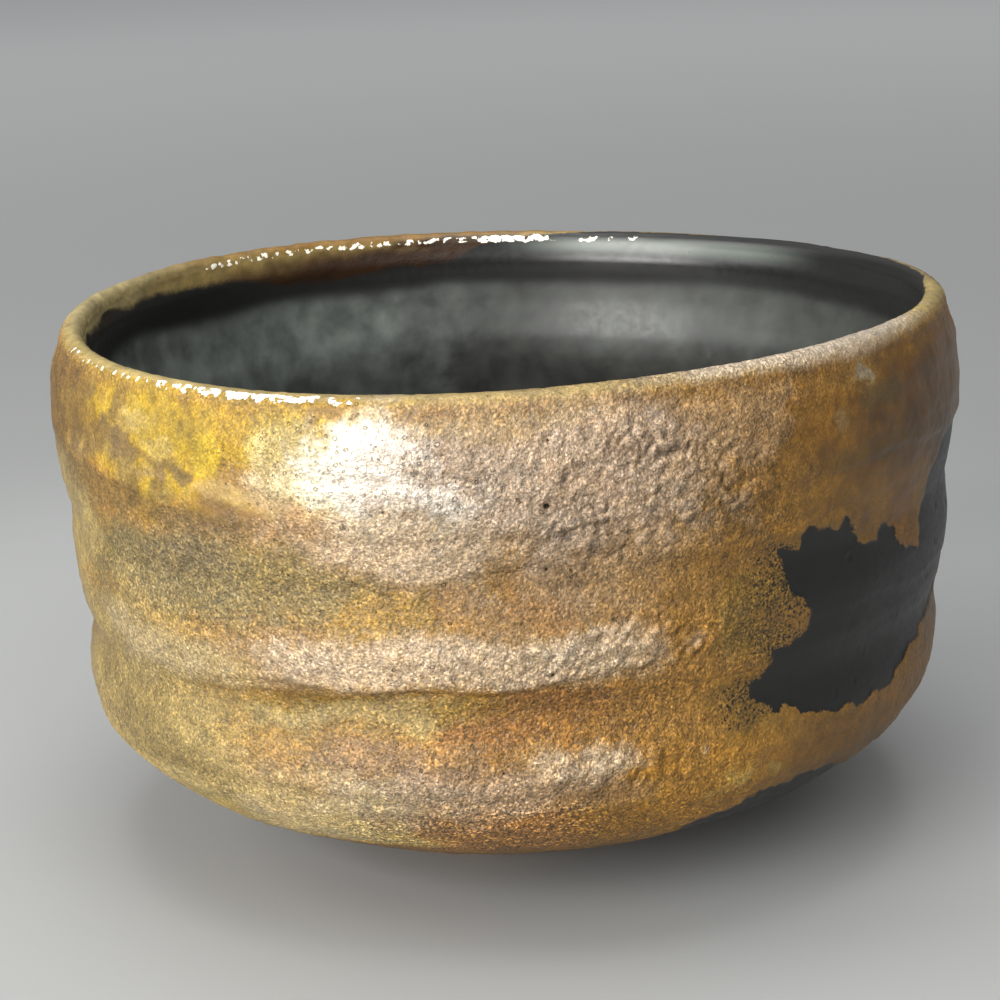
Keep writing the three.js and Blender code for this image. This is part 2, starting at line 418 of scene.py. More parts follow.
def above_ledge(line, theta, place):
    """Height above the line of a ledge, which wanders a little."""
    drift = 0.5 * noise(place, 7.0, 5) + 0.22 * noise(place, 2.6, 6)
    return place[..., 2] - around([(a, z) for a, z, _ in line], theta) - drift


def folded_skin(angle, height, place):
    """Where the ash wrinkled: how deep a fold is, and how high a lump stands, 0 to 1."""
    across = angle * MM_PER_DEGREE + 1.1 * noise(place, 3.6, 15)
    upward = height + 1.1 * noise(place, 3.6, 16)
    slant = math.radians(52)
    folds = np.stack([
        (upward * math.cos(slant) - across * math.sin(slant)) / 1.15,
        (across * math.cos(slant) + upward * math.sin(slant)) / 1.9,
        place[..., 0] * 0,
    ], axis=-1)
    folded, curdled = overlay(FOLDED, angle, height), overlay(CURDLED, angle, height)
    crease = smooth(1 - np.abs(noise(folds, 1.0, 10)), 0.72, 0.98)
    crease = crease * smooth(noise(place, 2.4, 18), -0.45, 0.25)
    lumps = 0.6 * np.abs(noise(place, (1.5, 1.5, 1.3), 11)) + 0.4 * np.abs(noise(folds, 0.6, 17))
    return folded * crease, curdled * (lumps - 0.24)


def relief(theta, crest, place):
    """How far the surface stands proud of the smooth form, in mm: (form, fine detail)."""
    angle, height = np.degrees(theta), place[..., 2]
    outer = smooth(-crest, 0.3, 4.5)
    inner = smooth(crest, 0.5, 6.0)
    form = -0.3 + 0.1 * noise(place, 12, 1)
    calm = 1 - 0.75 * spot(angle, height, (-107, 65), (13, 8))
    form = form + outer * calm * (0.2 * noise(place, 27, 2) + 0.1 * noise(place, 8, 3))
    form = form + inner * 0.3 * noise(place, 30, 4)
    for line, width, above, below in LEDGES:
        over = above_ledge(line, theta, place)
        step = around([(a, d) for a, _, d in line], theta)
        reach = np.where(over > 0, above, below)
        form = form + outer * step * np.tanh(over / width) * np.exp(-np.abs(over) / reach)
    past, swell = zip(*INSIDE_SWELL)
    form = form + smooth(crest, 0, 1) * curve(past, swell, crest)

    rings = np.stack([place[..., 0] / 34, place[..., 1] / 34, place[..., 2] / 1.5], axis=-1)
    detail = (0.09 * outer + 0.004 * inner) * noise(rings, 1.0, 7)
    rings = rings * (1, 1, 0.42)
    detail = detail + (0.08 * outer + 0.012 * inner) * noise(rings, 1.0, 8)
    detail = detail + (0.06 * outer + 0.005) * noise(place, 3.4, 9)

    folds, lumps = folded_skin(angle, height, place)
    detail = detail + outer * (0.72 * lumps - 0.34 * folds)

    edge = smooth(-crest, 0.2, 1.2) * smooth(-crest, 4.2, 2.6)
    beads = edge * (0.35 + 0.65 * spot(angle, height, (-137, 72), (34, 30)))
    detail = detail + 0.1 * beads * noise(place, (1.7, 1.7, 1.0), 14)
    far_lip = smooth(np.abs(crest), 2.6, 1.0) * spot(angle, height, (110, 74), (52, 30))
    detail = detail + 0.13 * far_lip * noise(place, (2.6, 2.6, 1.6), 19)

    dark = darkness(theta, crest, place)
    covered = 1 - smooth(dark, -0.3, 0.35)
    detail = detail * (1 - 0.7 * outer * (1 - covered)) - 0.13 * outer * (1 - covered)
    detail = detail + 0.07 * outer * np.exp(-(((dark + 0.7) / 0.6) ** 2))
    detail = detail + covered * (0.05 * noise(place, 1.2, 12) + 0.035 * noise(place, 0.7, 13))
    far, chance = cells(place, 2.3, 40)
    density = 0.1 + 0.75 * spot(angle, height, (-108, 65), (13, 6.5))
    density = density + 0.3 * spot(angle, height, (-140, 66), (16, 6))
    radius = 0.3 + 0.3 * (chance * 37 % 1)
    pit = np.exp(-((far / radius) ** 2)) - 0.35 * np.exp(-(((far - 1.7 * radius) / 0.2) ** 2))
    detail = detail - 0.15 * outer * (chance < density) * pit
    wide = np.degrees(1 / np.maximum(np.hypot(place[..., 0], place[..., 1]), 1))
    for a, z, radius, depth in PINHOLES:
        off = np.hypot(angle_between(angle, a) / wide, height - z)
        detail = detail - outer * depth * np.exp(-((off / radius) ** 4))
    return form, detail


# colours
def colour(r, g, b):
    return np.array([r, g, b]) / 255.0


def linear(value):
    return np.where(value <= 0.04045, value / 12.92, ((value + 0.055) / 1.055) ** 2.4)


OCHRE = colour(168, 122, 44)
GOLD = colour(198, 162, 16)
DEEP_GOLD = colour(186, 149, 8)
BRIGHT_YELLOW = colour(218, 186, 28)
PALE_YELLOW = colour(212, 184, 104)
# CREAM is a painted highlight, at the left end of the window's reflection on the belt
CREAM = colour(216, 196, 138)
BROWN_GOLD = colour(164, 114, 30)
ORANGE_TAN = colour(184, 144, 90)
TAN = colour(182, 156, 96)
LIP_TAN = colour(204, 180, 110)
# TAUPE, PALE_TAUPE and SILVER_TAUPE are the glaze's pinkish tone; on the front they are also, in
# part, painted sheen over the ochre
TAUPE = colour(158, 128, 100)
PALE_TAUPE = colour(174, 148, 116)
OLIVE = colour(130, 112, 52)
FRINGE_OLIVE = colour(150, 116, 32)
GREY_OLIVE = colour(124, 104, 60)
MAUVE_BROWN = colour(112, 88, 56)
PEACH = colour(224, 188, 112)
YELLOW_OLIVE = colour(160, 128, 44)
RUST = colour(174, 130, 78)
DARK_RUST = colour(150, 102, 42)
AMBER_BROWN = colour(62, 37, 12)
DARK_OLIVE = colour(124, 82, 20)
DULL_BROWN = colour(132, 98, 60)
SAGE = colour(150, 142, 98)
STRAW = colour(166, 146, 88)
PALE_STRAW = colour(206, 186, 128)
GRANULE_GOLD = colour(170, 122, 64)
RICH_OCHRE = colour(192, 138, 36)
BELT_GOLD = colour(124, 95, 30)
EDGE_GOLD = colour(122, 90, 16)
AMBER = colour(140, 88, 8)
# painted highlight: a whitish colour where the window is mirrored on the upper belt
HIGHLIGHT_WHITE = colour(224, 212, 172)
SILVER_TAUPE = colour(196, 180, 154)
BLACK_GLAZE = colour(44, 44, 42)
# painted shade: the near-black of the neck inside the lip
NECK_SHADE = colour(26, 26, 25)
# painted reflection: the pale grey of the far lip where it mirrors the window
LIP_REFLECTION_GREY = colour(104, 112, 105)
INNER_BLACK = colour(42, 42, 40)
CLOUD_GREY = colour(82, 87, 83)

ALBEDO = 0.36  # the shades above are as they look in the light of the studio
SILVER = np.array([0.66, 0.56, 0.46])  # the sheen where the ash has a metallic lustre
# painted highlight: the sheen is whitened where the window's highlight falls
WHITER = np.array([0.0, 0.06, 0.11])  # added to it where the sheen is brightest
HIGHLIGHT = (-104.4, 65.8), (9.8, 7.6)  # where the window is mirrored
VEINED = (-139, 65), (19, 8)  # where the gold is broken by mauve islands and pale veins

# Shades of the bare clay, used as they are
CLAY_PALE, CLAY_BROWN, CLAY_SHADOW = colour(146, 116, 90), colour(108, 80, 60), colour(84, 62, 46)
IRON_SPECK, PALE_GRIT = colour(52, 38, 32), colour(196, 176, 150)
# Colours as the shader takes them
# the cream beside the warm grain is a painted highlight, for glints on the beads of the lip
WARM_GRAIN, GLINT_CREAM = (1.24, 1.05, 0.62, 1), (0.8, 0.75, 0.64, 1)
# the black of the pinholes is painted shade inside them
PINHOLE_AMBER, PINHOLE_SHADE = (0.13, 0.055, 0.012, 1), (0.004, 0.003, 0.002, 1)
# the paper is painted in light and shade: darker a little way from the bowl and paler far off
PAPER_BY_BOWL, PAPER_GREY = (0.245, 0.248, 0.246, 1), (0.205, 0.208, 0.206, 1)
PAPER_FAR = (0.57, 0.572, 0.565, 1)
SKY_DIM, SKY_BRIGHT = (0.05, 0.05, 0.052, 1), (0.6, 0.61, 0.63, 1)
SKY_HAZE, SKY_BELOW = (0.26, 0.262, 0.266, 1), (0.3, 0.3, 0.31, 1)

# The studio: metres and degrees
FLOOR_REACH, LAMP_AIM = 4.0, 0.045
CAMERA_DOWN, CAMERA_ROLL = 15.72, -2.35

# (angle, height, half width in degrees, half height in mm, colour, strength)
ZONES = [
    (-14, 64, 12, 8, AMBER, 0.7), (-136, 66, 18, 8, GOLD, 1.0), (-160, 66, 14, 9, EDGE_GOLD, 0.9),
    (-153, 64, 5, 4, PALE_YELLOW, 0.4), (-122, 68.6, 9, 5, DEEP_GOLD, 0.9),
    # the white oval at -104.6 is a painted highlight, where the window is mirrored on the belt
    (-148, 62.6, 6, 2.2, MAUVE_BROWN, 0.6), (-104.6, 65.2, 12.4, 7.8, HIGHLIGHT_WHITE, 0.9),
    # the taupe ovals at -86 and -76 are partly painted sheen of the window over the ochre, partly
    # the glaze's own tone
    (-109, 71.8, 14, 1.4, YELLOW_OLIVE, 0.2), (-86, 65, 20, 12, TAUPE, 0.95),
    (-76, 52, 14, 7, TAUPE, 0.5), (-92, 71.5, 10, 2, TAN, 0.4), (-57, 64, 10, 9, BROWN_GOLD, 0.8),
    (-60, 57, 8, 8, OCHRE, 0.8), (-30, 65, 20, 9, DARK_OLIVE, 0.95),
    (-12, 70, 10, 3.4, BROWN_GOLD, 0.6), (-40, 66, 2.2, 4, OCHRE, 0.4),
    (-124, 56, 14, 2.4, ORANGE_TAN, 0.75), (-160, 57, 10, 4, GREY_OLIVE, 0.7),
    (-136, 50, 24, 7, OLIVE, 1.0), (-164, 50, 12, 10, STRAW, 0.9), (-142, 46, 12, 3, STRAW, 0.4),
    (-128, 52, 9, 3, GREY_OLIVE, 0.6), (-116, 50, 6, 4.5, OLIVE, 0.7),
    # the pale taupe oval at -104 under the highlight and the taupe one at -97 are partly painted
    # sheen
    (-104, 54, 12, 4.6, PALE_TAUPE, 0.8), (-108.5, 47.6, 5, 3.2, YELLOW_OLIVE, 0.7),
    (-97, 48.6, 6, 4, TAUPE, 0.5), (-87.5, 48.4, 6, 4.4, RUST, 0.8),
    # the pale taupe oval at -98 is partly a painted highlight of the window on the ridge
    (-146, 38.5, 24, 6, STRAW, 0.9), (-98, 41.5, 28, 4.6, PALE_TAUPE, 0.8),
    (-66, 46, 9, 10, OCHRE, 0.7), (-46, 54, 8, 4, OCHRE, 0.8), (-34, 52, 7, 7, DARK_RUST, 0.75),
    (-28, 58, 9, 2, DULL_BROWN, 0.7), (-60, 44, 5, 7, FRINGE_OLIVE, 0.8),
    (-61, 31, 5, 4, FRINGE_OLIVE, 0.6), (-148, 27, 30, 9, STRAW, 0.9),
    (-122, 33.2, 8, 2.2, SAGE, 0.6), (-116, 35.4, 12, 1.6, YELLOW_OLIVE, 0.7),
    (-112, 32, 10, 3, TAN, 0.6), (-108, 33.8, 13, 2.2, PALE_STRAW, 0.7),
    (-88, 33.2, 14, 4.2, DARK_RUST, 0.7), (-98, 34.5, 8, 1.6, YELLOW_OLIVE, 0.6),
    # the taupe oval at -108 and the pale taupe ones at -80 and -100 are partly painted sheen on the
    # lower band
    (-74, 31, 12, 6, OCHRE, 0.7), (-108, 26.4, 16, 3.2, TAUPE, 0.7),
    (-80, 27, 10, 3.4, PALE_TAUPE, 0.8), (-100, 23.4, 17, 4.4, PALE_TAUPE, 0.8),
    (-96, 17, 18, 6, GRANULE_GOLD, 0.9), (-68, 20, 16, 10, RICH_OCHRE, 0.85),
    (-140, 15.5, 28, 7, PALE_YELLOW, 0.85), (-119, 21, 13, 7, PALE_STRAW, 0.75),
    (-113, 17, 10, 3.6, PALE_YELLOW, 0.8), (-38, 24, 20, 4, BROWN_GOLD, 0.8),
    (-2, 32, 18, 6, DULL_BROWN, 0.9), (15, 48, 12, 12, DARK_RUST, 0.8),
    (20, 66, 22, 8, BROWN_GOLD, 0.9), (50, 65, 18, 7, DARK_OLIVE, 0.7), (80, 62, 20, 9, TAUPE, 0.9),
    (66, 44, 22, 8, RUST, 0.7), (110, 66, 16, 6, GOLD, 0.9), (106, 54, 14, 5, OLIVE, 0.8),
    (140, 66, 14, 7, DEEP_GOLD, 0.8), (150, 48, 20, 9, OCHRE, 0.7),
    (146, 55, 9, 3, YELLOW_OLIVE, 0.7), (100, 40, 22, 3, PALE_TAUPE, 0.8),
    (70, 26, 24, 6, BROWN_GOLD, 0.8), (130, 24, 26, 6, TAN, 0.8), (30, 22, 20, 7, DARK_RUST, 0.7),
    (165, 18, 18, 6, ORANGE_TAN, 0.6), (-172, 36, 10, 5, GREY_OLIVE, 0.6),
]
# Small marks that keep their place, listed in the same way
MARKS = [
    (-144, 58.2, 10, 1.9, BELT_GOLD, 0.8), (-129, 56.6, 10, 1.8, BELT_GOLD, 0.75),
    (-137, 68.8, 3.6, 1.3, PALE_YELLOW, 0.75), (-133.4, 65.8, 2.6, 1.5, PALE_YELLOW, 0.75),
    (-143, 66.4, 3.2, 1.6, MAUVE_BROWN, 0.7), (-140, 65.0, 4.0, 1.8, MAUVE_BROWN, 0.6),
    (-136.6, 64.0, 2.2, 1.1, MAUVE_BROWN, 0.5), (-132.2, 63.9, 2.6, 1.1, MAUVE_BROWN, 0.65),
    (-129.2, 62.9, 2.0, 0.9, MAUVE_BROWN, 0.65), (-134.4, 62.2, 3.4, 0.8, TAUPE, 0.6),
    (-125.8, 65.4, 1.9, 3.6, BRIGHT_YELLOW, 0.75), (-129.8, 66.4, 1.6, 2.0, BRIGHT_YELLOW, 0.5),
    (-124, 61.2, 5.2, 1.2, PEACH, 0.85), (-118.8, 60.4, 3.4, 1.6, PEACH, 0.6),
    (-62.4, 22.2, 2.6, 1.5, PALE_YELLOW, 0.6), (-56.6, 22.4, 1.8, 0.7, PALE_YELLOW, 0.6),
    (-65.4, 20.4, 1.8, 1.0, PALE_YELLOW, 0.4), (-111, 16.6, 9, 2.6, PALE_STRAW, 0.7),
    # the silver taupe mark at -44.6, under the near lip, is partly painted sheen
    (-137, 17.5, 7, 3, PALE_YELLOW, 0.6), (-44.6, 70.6, 2.0, 1.3, SILVER_TAUPE, 0.85),
    (-49.4, 65.4, 1.0, 1.8, PALE_TAUPE, 0.5), (-35.3, 64.6, 1.7, 2.6, DARK_OLIVE, 0.8),
    (-42, 60.8, 12, 1.3, BELT_GOLD, 0.6), (-42, 67.6, 4.4, 1.8, GREY_OLIVE, 0.5),
    # the cream mark at -115.6 is a painted highlight, at the left end of the window's reflection
    (-115.6, 66.4, 4.6, 5.4, CREAM, 0.75), (-98, 28.8, 5, 2, TAUPE, 0.5),
    (-136, 20.4, 7, 2.4, PALE_STRAW, 0.6), (-110, 18.4, 7, 2.4, PALE_YELLOW, 0.5),
    # the taupe marks at -98, -95 and -85 and the pale taupe one at -108 are partly painted sheen
    (-152, 66.8, 7, 4, EDGE_GOLD, 0.7), (-95, 26.4, 9, 2.2, TAUPE, 0.65),
    (-85, 23.2, 13, 2.6, TAUPE, 0.65), (-108, 39.4, 12, 3.4, PALE_TAUPE, 0.5),
]
# On the lip: (angle, mm past the crest, half width in degrees, half width in mm, colour, strength)
LIP_ZONES = [
    (-150, 1.2, 46, 2.6, LIP_TAN, 0.95), (-92, 0.8, 26, 1.4, TAN, 0.8),
    # the pale taupe and silver taupe at -52 and -44 on the near lip are partly painted sheen
    (-52, 0.4, 26, 2.6, PALE_TAUPE, 0.9), (-44, 0.0, 15, 1.8, SILVER_TAUPE, 0.8),
    (-10, 0.0, 16, 2.4, LIP_TAN, 0.8), (30, -1.2, 26, 1.6, DULL_BROWN, 0.8),
    (70, -0.8, 22, 1.8, YELLOW_OLIVE, 0.7), (112, -0.4, 34, 2.6, BROWN_GOLD, 0.8),
    # the pale straw at 172, inside the left lip, is painted light: paler than the glaze, in place
    # of light that falls there
    (172, 2.2, 24, 4.0, PALE_STRAW, 1.0), (108, 7.6, 36, 4.8, AMBER_BROWN, 1.0),
    (96, 2.8, 14, 1.6, AMBER_BROWN, 0.8), (-128, -2.0, 28, 0.9, DEEP_GOLD, 0.7),
]
# The rest give a value in place of a colour, at full strength
GRAIN_ZONES = [
    (-44, 40, 20, 44, 0.34), (-30, 62, 19, 12, 0.1), (-5, 45, 22, 30, 0.12),
    (-138, 66, 20, 8, 0.55), (-124, 60, 10, 3, 0.4), (-60, 42, 5, 9, 0.9), (40, 66, 20, 8, 0.3),
    (-92, 30, 24, 12, 1.0), (-94, 17, 22, 6, 1.5), (-130, 49, 22, 7, 1.05), (-168, 45, 10, 30, 0.5),
    (-106, 65, 10, 7, 0.5), (-84, 63, 12, 9, 0.85),
]
ROUGH_ZONES = [
    (-140, 65, 22, 9, 0.75), (-108, 65, 13, 7, 0.34), (-85, 58, 18, 14, 0.38),
    (-98, 42, 26, 5, 0.36), (-30, 62, 20, 12, 0.34), (-140, 50, 24, 8, 0.5), (-140, 30, 22, 9, 0.5),
]
LUSTRE_ZONES = [
    (-112, 61, 8, 6, 0.12), (-96, 64, 16, 8, 0.15), (-80, 62, 12, 11, 0.17), (-66, 67, 7, 6, 0.1),
    (-105, 55.6, 12, 3.6, 0.2), (-76, 52, 10, 5, 0.06), (-101, 41, 27, 4.2, 0.18),
    (-115, 40, 8, 3, 0.21), (-79, 42, 9, 4, 0.19), (-136, 39, 16, 4, 0.13),
    (-101, 22.6, 15, 4, 0.13), (-90, 24, 12, 2.8, 0.1), (-77.5, 27.4, 7, 3.6, 0.2),
    (-130, 50, 22, 8, 0.05), (-117, 19, 11, 4.6, 0.14), (84, 62, 24, 9, 0.22),
    (104, 40, 22, 4, 0.2), (160, 42, 16, 5, 0.15), (60, 30, 22, 5, 0.12),
]


def toward(base, shade, share):
    """Moves a colour or value towards another by a share."""
    share = share[..., None] if np.ndim(base) > np.ndim(share) else share
    return base * (1 - share) + shade * share


def layer(base, zones, angle, height):
    """Lays a list of zones over a colour or a value, each over the ones before it."""
    for a, z, wide, tall, shade, *strength in zones:
        share = spot(angle, height, (a, z), (wide, tall)) * (strength[0] if strength else 1)
        base = toward(base, shade, share)
    return base


def paint(theta, crest, place):
    """Colour, grain, roughness, lustre, pitting and painted bead glints of the ash glaze, at each
    point; the colour also holds painted highlight, sheen and shade.
    """
    drawn = place / (1.9, 1.9, 1.0)
    angle = np.degrees(theta) + 6.0 * noise(drawn, 9, 70) + 3.4 * noise(place, 3.0, 71)
    angle = angle + 2.2 * noise(place, 1.1, 78)
    height = place[..., 2] + 1.7 * noise(drawn, 8, 72) + 1.3 * noise(drawn, 2.6, 73)
    height = height + 0.9 * noise(place, 0.9, 79)
    tint = layer(np.broadcast_to(OCHRE, place.shape), ZONES, angle, height)
    ragged = 0.9 * noise(place, 2.4, 84) + 0.7 * noise(place, 0.9, 85)
    near_angle = np.degrees(theta) + ragged
    near_height = place[..., 2] + 0.8 * noise(place, 2.1, 88) + 0.5 * noise(place, 0.8, 89)
    # mauve islands and pale veins break the gold
    veined = spot(angle, height, *VEINED)
    run = place / (1.0, 1.0, 1.7)
    islands = smooth(layered(run, 4.2, 80), 0.02, 0.3)
    tint = toward(tint, MAUVE_BROWN, 0.6 * veined * islands)
    veins = smooth(-np.abs(layered(run, 4.0, 83)), -0.2, -0.03)
    tint = toward(tint, PALE_YELLOW, 0.4 * veined * veins)
    tint = layer(tint, MARKS, near_angle, near_height)
    # the lip
    past = crest + 0.5 * noise(place, 2.2, 74)
    lip = layer(np.broadcast_to(TAN, place.shape), LIP_ZONES, angle, past)
    tint = toward(tint, lip, smooth(crest, -3.4, -1.2))
    shade = 1 + 0.1 * noise(place, 6, 75) + 0.1 * noise(place, 1.6, 76)
    shade = shade + 0.05 * noise(place, 0.8, 77)
    tint = np.clip(tint * shade[..., None], 0.02, 1)
    # grain and finish
    grain = layer(np.full(height.shape, 0.85), GRAIN_ZONES, angle, height)
    rough = layer(np.full(height.shape, 0.44), ROUGH_ZONES, angle, height)
    lustre = layer(np.full(height.shape, 0.02), LUSTRE_ZONES, angle, height)
    sleek = smooth(crest, -2.4, 0.0) * (1 - spot(angle, past, (-55, 0), (34, 5)))
    grain = grain * (1 - 0.8 * sleek)
    folds, lumps = folded_skin(angle, height, place)
    # painted shade: the creases of the folds are darkened
    tint = tint * (1 - 0.3 * folds[..., None])
    glint_band = smooth(-crest, 0.5, 1.0) * smooth(-crest, 2.9, 1.8) * span(angle, -135, 30)
    streaks = np.stack([place[..., 0] / 1.5, place[..., 1] / 1.5, height / 14], axis=-1)
    streaks = noise(streaks, 1.0, 92) * spot(angle, height, (-94, 66), (12, 7))
    patchy = 1 + 0.25 * noise(drawn, 5, 81) + 0.25 * noise(place, 2.0, 82) + 0.35 * streaks
    patchy = (patchy + 0.8 * lumps) * (1 - 0.6 * folds)
    lustre = lustre * np.clip(patchy, 0.2, 1.8)
    # painted shade: the groove under a sharp ledge is darkened, and it has less lustre
    for line, reach in ((LEDGE_UPPER, 2.0), (LEDGE_MIDDLE, 4.0), (LEDGE_LOWER, 3.0)):
        over = above_ledge(line, theta, place)
        under = smooth(over, 0.5, -0.5) * smooth(over, -2 * reach, -0.5 * reach)
        groove_shade = under * np.clip(around([(a, d * 2.6 - 0.25) for a, _, d in line], theta), 0, 1)
        lustre = lustre * (1 - 0.85 * groove_shade)
        tint = tint * (1 - 0.13 * groove_shade[..., None] * (0.8, 1.0, 1.2))
    lustre = lustre * smooth(crest, 2.0, 0.5)
    lustre = np.maximum(lustre, 0.38 * spot(angle, height, *HIGHLIGHT))
    # painted highlights: glints on the beads below the near lip, and gleams inside the far one
    drop_glints = 1.06 * glint_band * (1 - 0.5 * smooth(angle, -126, -150))
    gleam = 0.84 * span(angle, 118, 30) + 0.92 * span(angle, 87, 8)
    gleam = gleam + 0.86 * span(angle, 70, 7)
    beads = np.maximum(drop_glints, gleam * smooth(np.abs(crest - 2.2), 1.25, 0.35))
    lustre = np.maximum(lustre, 0.34 * spot(angle, past, (-48, -0.4), (24, 3.0)))
    # painted highlight: the sheen is whiter where the window is mirrored
    sheen = SILVER + WHITER * spot(angle, height, (-104, 65), (13, 8))[..., None]
    shine = sheen * lustre[..., None]
    base = ALBEDO * linear(tint) * (1 - lustre[..., None]) + shine
    pitted = 0.85 * spot(angle, height, (-107, 65), (15, 8.4))
    pitted = pitted + 0.07 * spot(angle, height, (-90, 48), (30, 24))
    return base, grain, rough, lustre, pitted, beads


def paint_black(theta, crest, place):
    """Colour, roughness and clouding of the black glaze: even outside; inside, grey clouds, a band
    of painted sheen, painted shade on the neck and a painted reflection on the far lip.
    """
    angle = np.degrees(theta)
    run = place / (1.0, 1.0, 1.8)
    height = place[..., 2] + 1.4 * noise(place, 14, 87)
    # band is a paler band of painted sheen, where the far wall mirrors the window
    band = smooth(height, 66.5, 64) * smooth(height, 52.5, 57.5)
    # neck: painted shade on the inside just under the lip, darker than the glaze
    neck = smooth(height, 63.5, 66.5)
    right = span(angle, 50, 50)
    left = spot(angle, height, (138, 59), (30, 8))
    clouds = 0.75 * layered(place, 5.0, 86, 4, 0.9) + 0.35 * noise(run, 4.0, 88)
    clouds = clouds * (1 - 0.5 * band * right) * (1 - 0.7 * neck)
    deep = smooth(height, 56, 50)
    # the cloud grey share holds painted sheen in the band; it is also raised on the left and lower
    # down on the left, and lowered on the right
    share = 0.18 + 0.6 * clouds + 0.36 * band + 0.72 * left - 0.24 * right
    share = share + deep * (0.42 * span(angle, 138, 36) - 0.12 * right)
    share = np.clip(share, 0, 1)[..., None]
    inner = smooth(crest, 0.5, 4.0)
    clouds_and_painted_light = toward(linear(INNER_BLACK), linear(CLOUD_GREY), share)
    # painted shade darkens the neck
    clouds_and_painted_light = toward(clouds_and_painted_light, linear(NECK_SHADE), neck)
    # painted reflection: the far lip is paler grey where it mirrors the window
    pale = smooth(crest, 1.2, 2.2) * smooth(crest, 5.6, 3.4) * span(angle, 62, 24)
    clouds_and_painted_light = toward(clouds_and_painted_light, linear(LIP_REFLECTION_GREY), 0.7 * pale)
    black = toward(ALBEDO * linear(BLACK_GLAZE), clouds_and_painted_light, inner[..., None])
    lip = smooth(crest, 8.0, 6.0)
    satin = 0.42 * (1 - inner) + inner * (0.42 + 0.12 * neck - 0.22 * lip)
    clouding = inner * (1 - 0.75 * band * right) * (1 - 0.6 * neck) * smooth(crest, 7, 10)
    return black, satin, clouding


# meshes
def surface(theta, arc, sink=0.0, slide=0.0, fine=1.0):
    """Points on the bowl: round it by theta and along the section line by arc."""
    r, z = np.interp(arc, LINE_ARC, LINE[:, 0]), np.interp(arc, LINE_ARC, LINE[:, 1])
    nr = np.interp(arc, LINE_ARC, LINE_NORMAL[:, 0])
    nz = np.interp(arc, LINE_ARC, LINE_NORMAL[:, 1])
    crest = arc - CREST_ARC
    place = handle(theta, r, z)
    form, detail = relief(theta, crest, place)
    proud = form + fine * detail - sink
    at_axis = smooth(r, 0.0, 0.4)
    point = handle(theta, r + (nr * proud - nz * slide) * at_axis, z + nz * proud + nr * slide)
    return point, crest, place


def skin(counts, closed):
    """Faces between rings of the given numbers of points: lists of (ring, step) corners."""
    pairs = [(i, i + 1) for i in range(len(counts) - 1)]
    if closed:
        pairs.append((len(counts) - 1, 0))
    faces = []
    for low, high in pairs:
        a, b = counts[low], counts[high]
        if a == 1 and b == 1:
            continue
        j = np.arange(min(a, b) if min(a, b) > 1 else max(a, b))
        if a == b:
            faces.append([(low, j), (low, j + 1), (high, j + 1), (high, j)])
        elif b == 1:
            faces.append([(low, j), (low, j + 1), (high, j * 0)])
        elif a == 1:
            faces.append([(low, j * 0), (high, j + 1), (high, j)])
        elif a == 2 * b:
            faces.append([(low, 2 * j), (low, 2 * j + 1), (high, j)])
            faces.append([(low, 2 * j + 1), (high, j + 1), (high, j)])
            faces.append([(low, 2 * j + 1), (low, 2 * j + 2), (high, j + 1)])
        else:
            faces.append([(low, j), (high, 2 * j + 1), (high, 2 * j)])
            faces.append([(low, j), (low, j + 1), (high, 2 * j + 1)])
            faces.append([(low, j + 1), (high, 2 * j + 2), (high, 2 * j + 1)])
    return faces


def corners_of(faces, counts):
    """Vertex numbers, ring numbers and turns (0 to 1) of every corner, and the face sizes."""
    starts = np.concatenate([[0], np.cumsum(counts)])
    vertex, ring, turn, sizes = [], [], [], []
    for face in faces:
        rows = len(face[0][1])
        vertex.append(np.stack([starts[i] + j % counts[i] for i, j in face], axis=1).ravel())
        ring.append(np.stack([np.full(rows, i) for i, _ in face], axis=1).ravel())
        steps = np.stack([j / counts[i] for i, j in face], axis=1)
        for k, (i, _) in enumerate(face):
            if counts[i] == 1:
                others = [m for m in range(len(face)) if counts[face[m][0]] > 1]
                steps[:, k] = steps[:, others].mean(axis=1)
        turn.append(steps.ravel())
        sizes.append(np.full(rows, len(face)))
    return (np.concatenate(v) for v in (vertex, ring, turn, sizes))


def point_normals(points, vertex, sizes):
    """Even normals of the points of a mesh."""
    first = np.concatenate([[0], np.cumsum(sizes)[:-1]])
    a, b, c = (points[vertex[first + k]] for k in (0, 1, 2))
    d = np.where((sizes == 4)[:, None], points[vertex[np.minimum(first + 3, len(vertex) - 1)]], a)
    across = np.cross(c - a, d - b)
    across = np.where((sizes == 4)[:, None], across, np.cross(b - a, c - a))
    normals = np.zeros_like(points)
    face = np.repeat(np.arange(len(sizes)), sizes)
    for axis in range(3):
        normals[:, axis] = np.bincount(vertex, across[face, axis], minlength=len(points))
    return normals / np.maximum(np.linalg.norm(normals, axis=1), 1e-12)[:, None]


def bake_layout(ring, turn, sizes, along, front, strips):
    """Places on the OFBake texture map: the front in strips, and one strip for the rest."""
    face = np.repeat(np.arange(len(sizes)), sizes)
    start = np.concatenate([[0], np.cumsum(sizes)[:-1]])
    middle = np.add.reduceat(turn, start) / sizes
    outside = np.maximum.reduceat(ring, start) < front
    strip = np.minimum((middle * strips).astype(int), strips - 1)
    share = 0.93 / strips
    low, high = along[0], along[front - 1]
    v_front = (strip[face] + 0.04 + 0.92 * (along[ring] - low) / (high - low)) * share
    u_front = 0.01 + 0.98 * (turn * strips - strip[face])
    rest = np.arange(len(along)) - front + 1
    rest = np.where(rest < 0, len(along) - front + 1, rest) / (len(along) - front + 1)
    u = np.where(outside[face], u_front, 0.01 + 0.98 * turn)
    v = np.where(outside[face], v_front, 0.94 + 0.05 * rest[ring])
    return np.stack([u, v], axis=1)


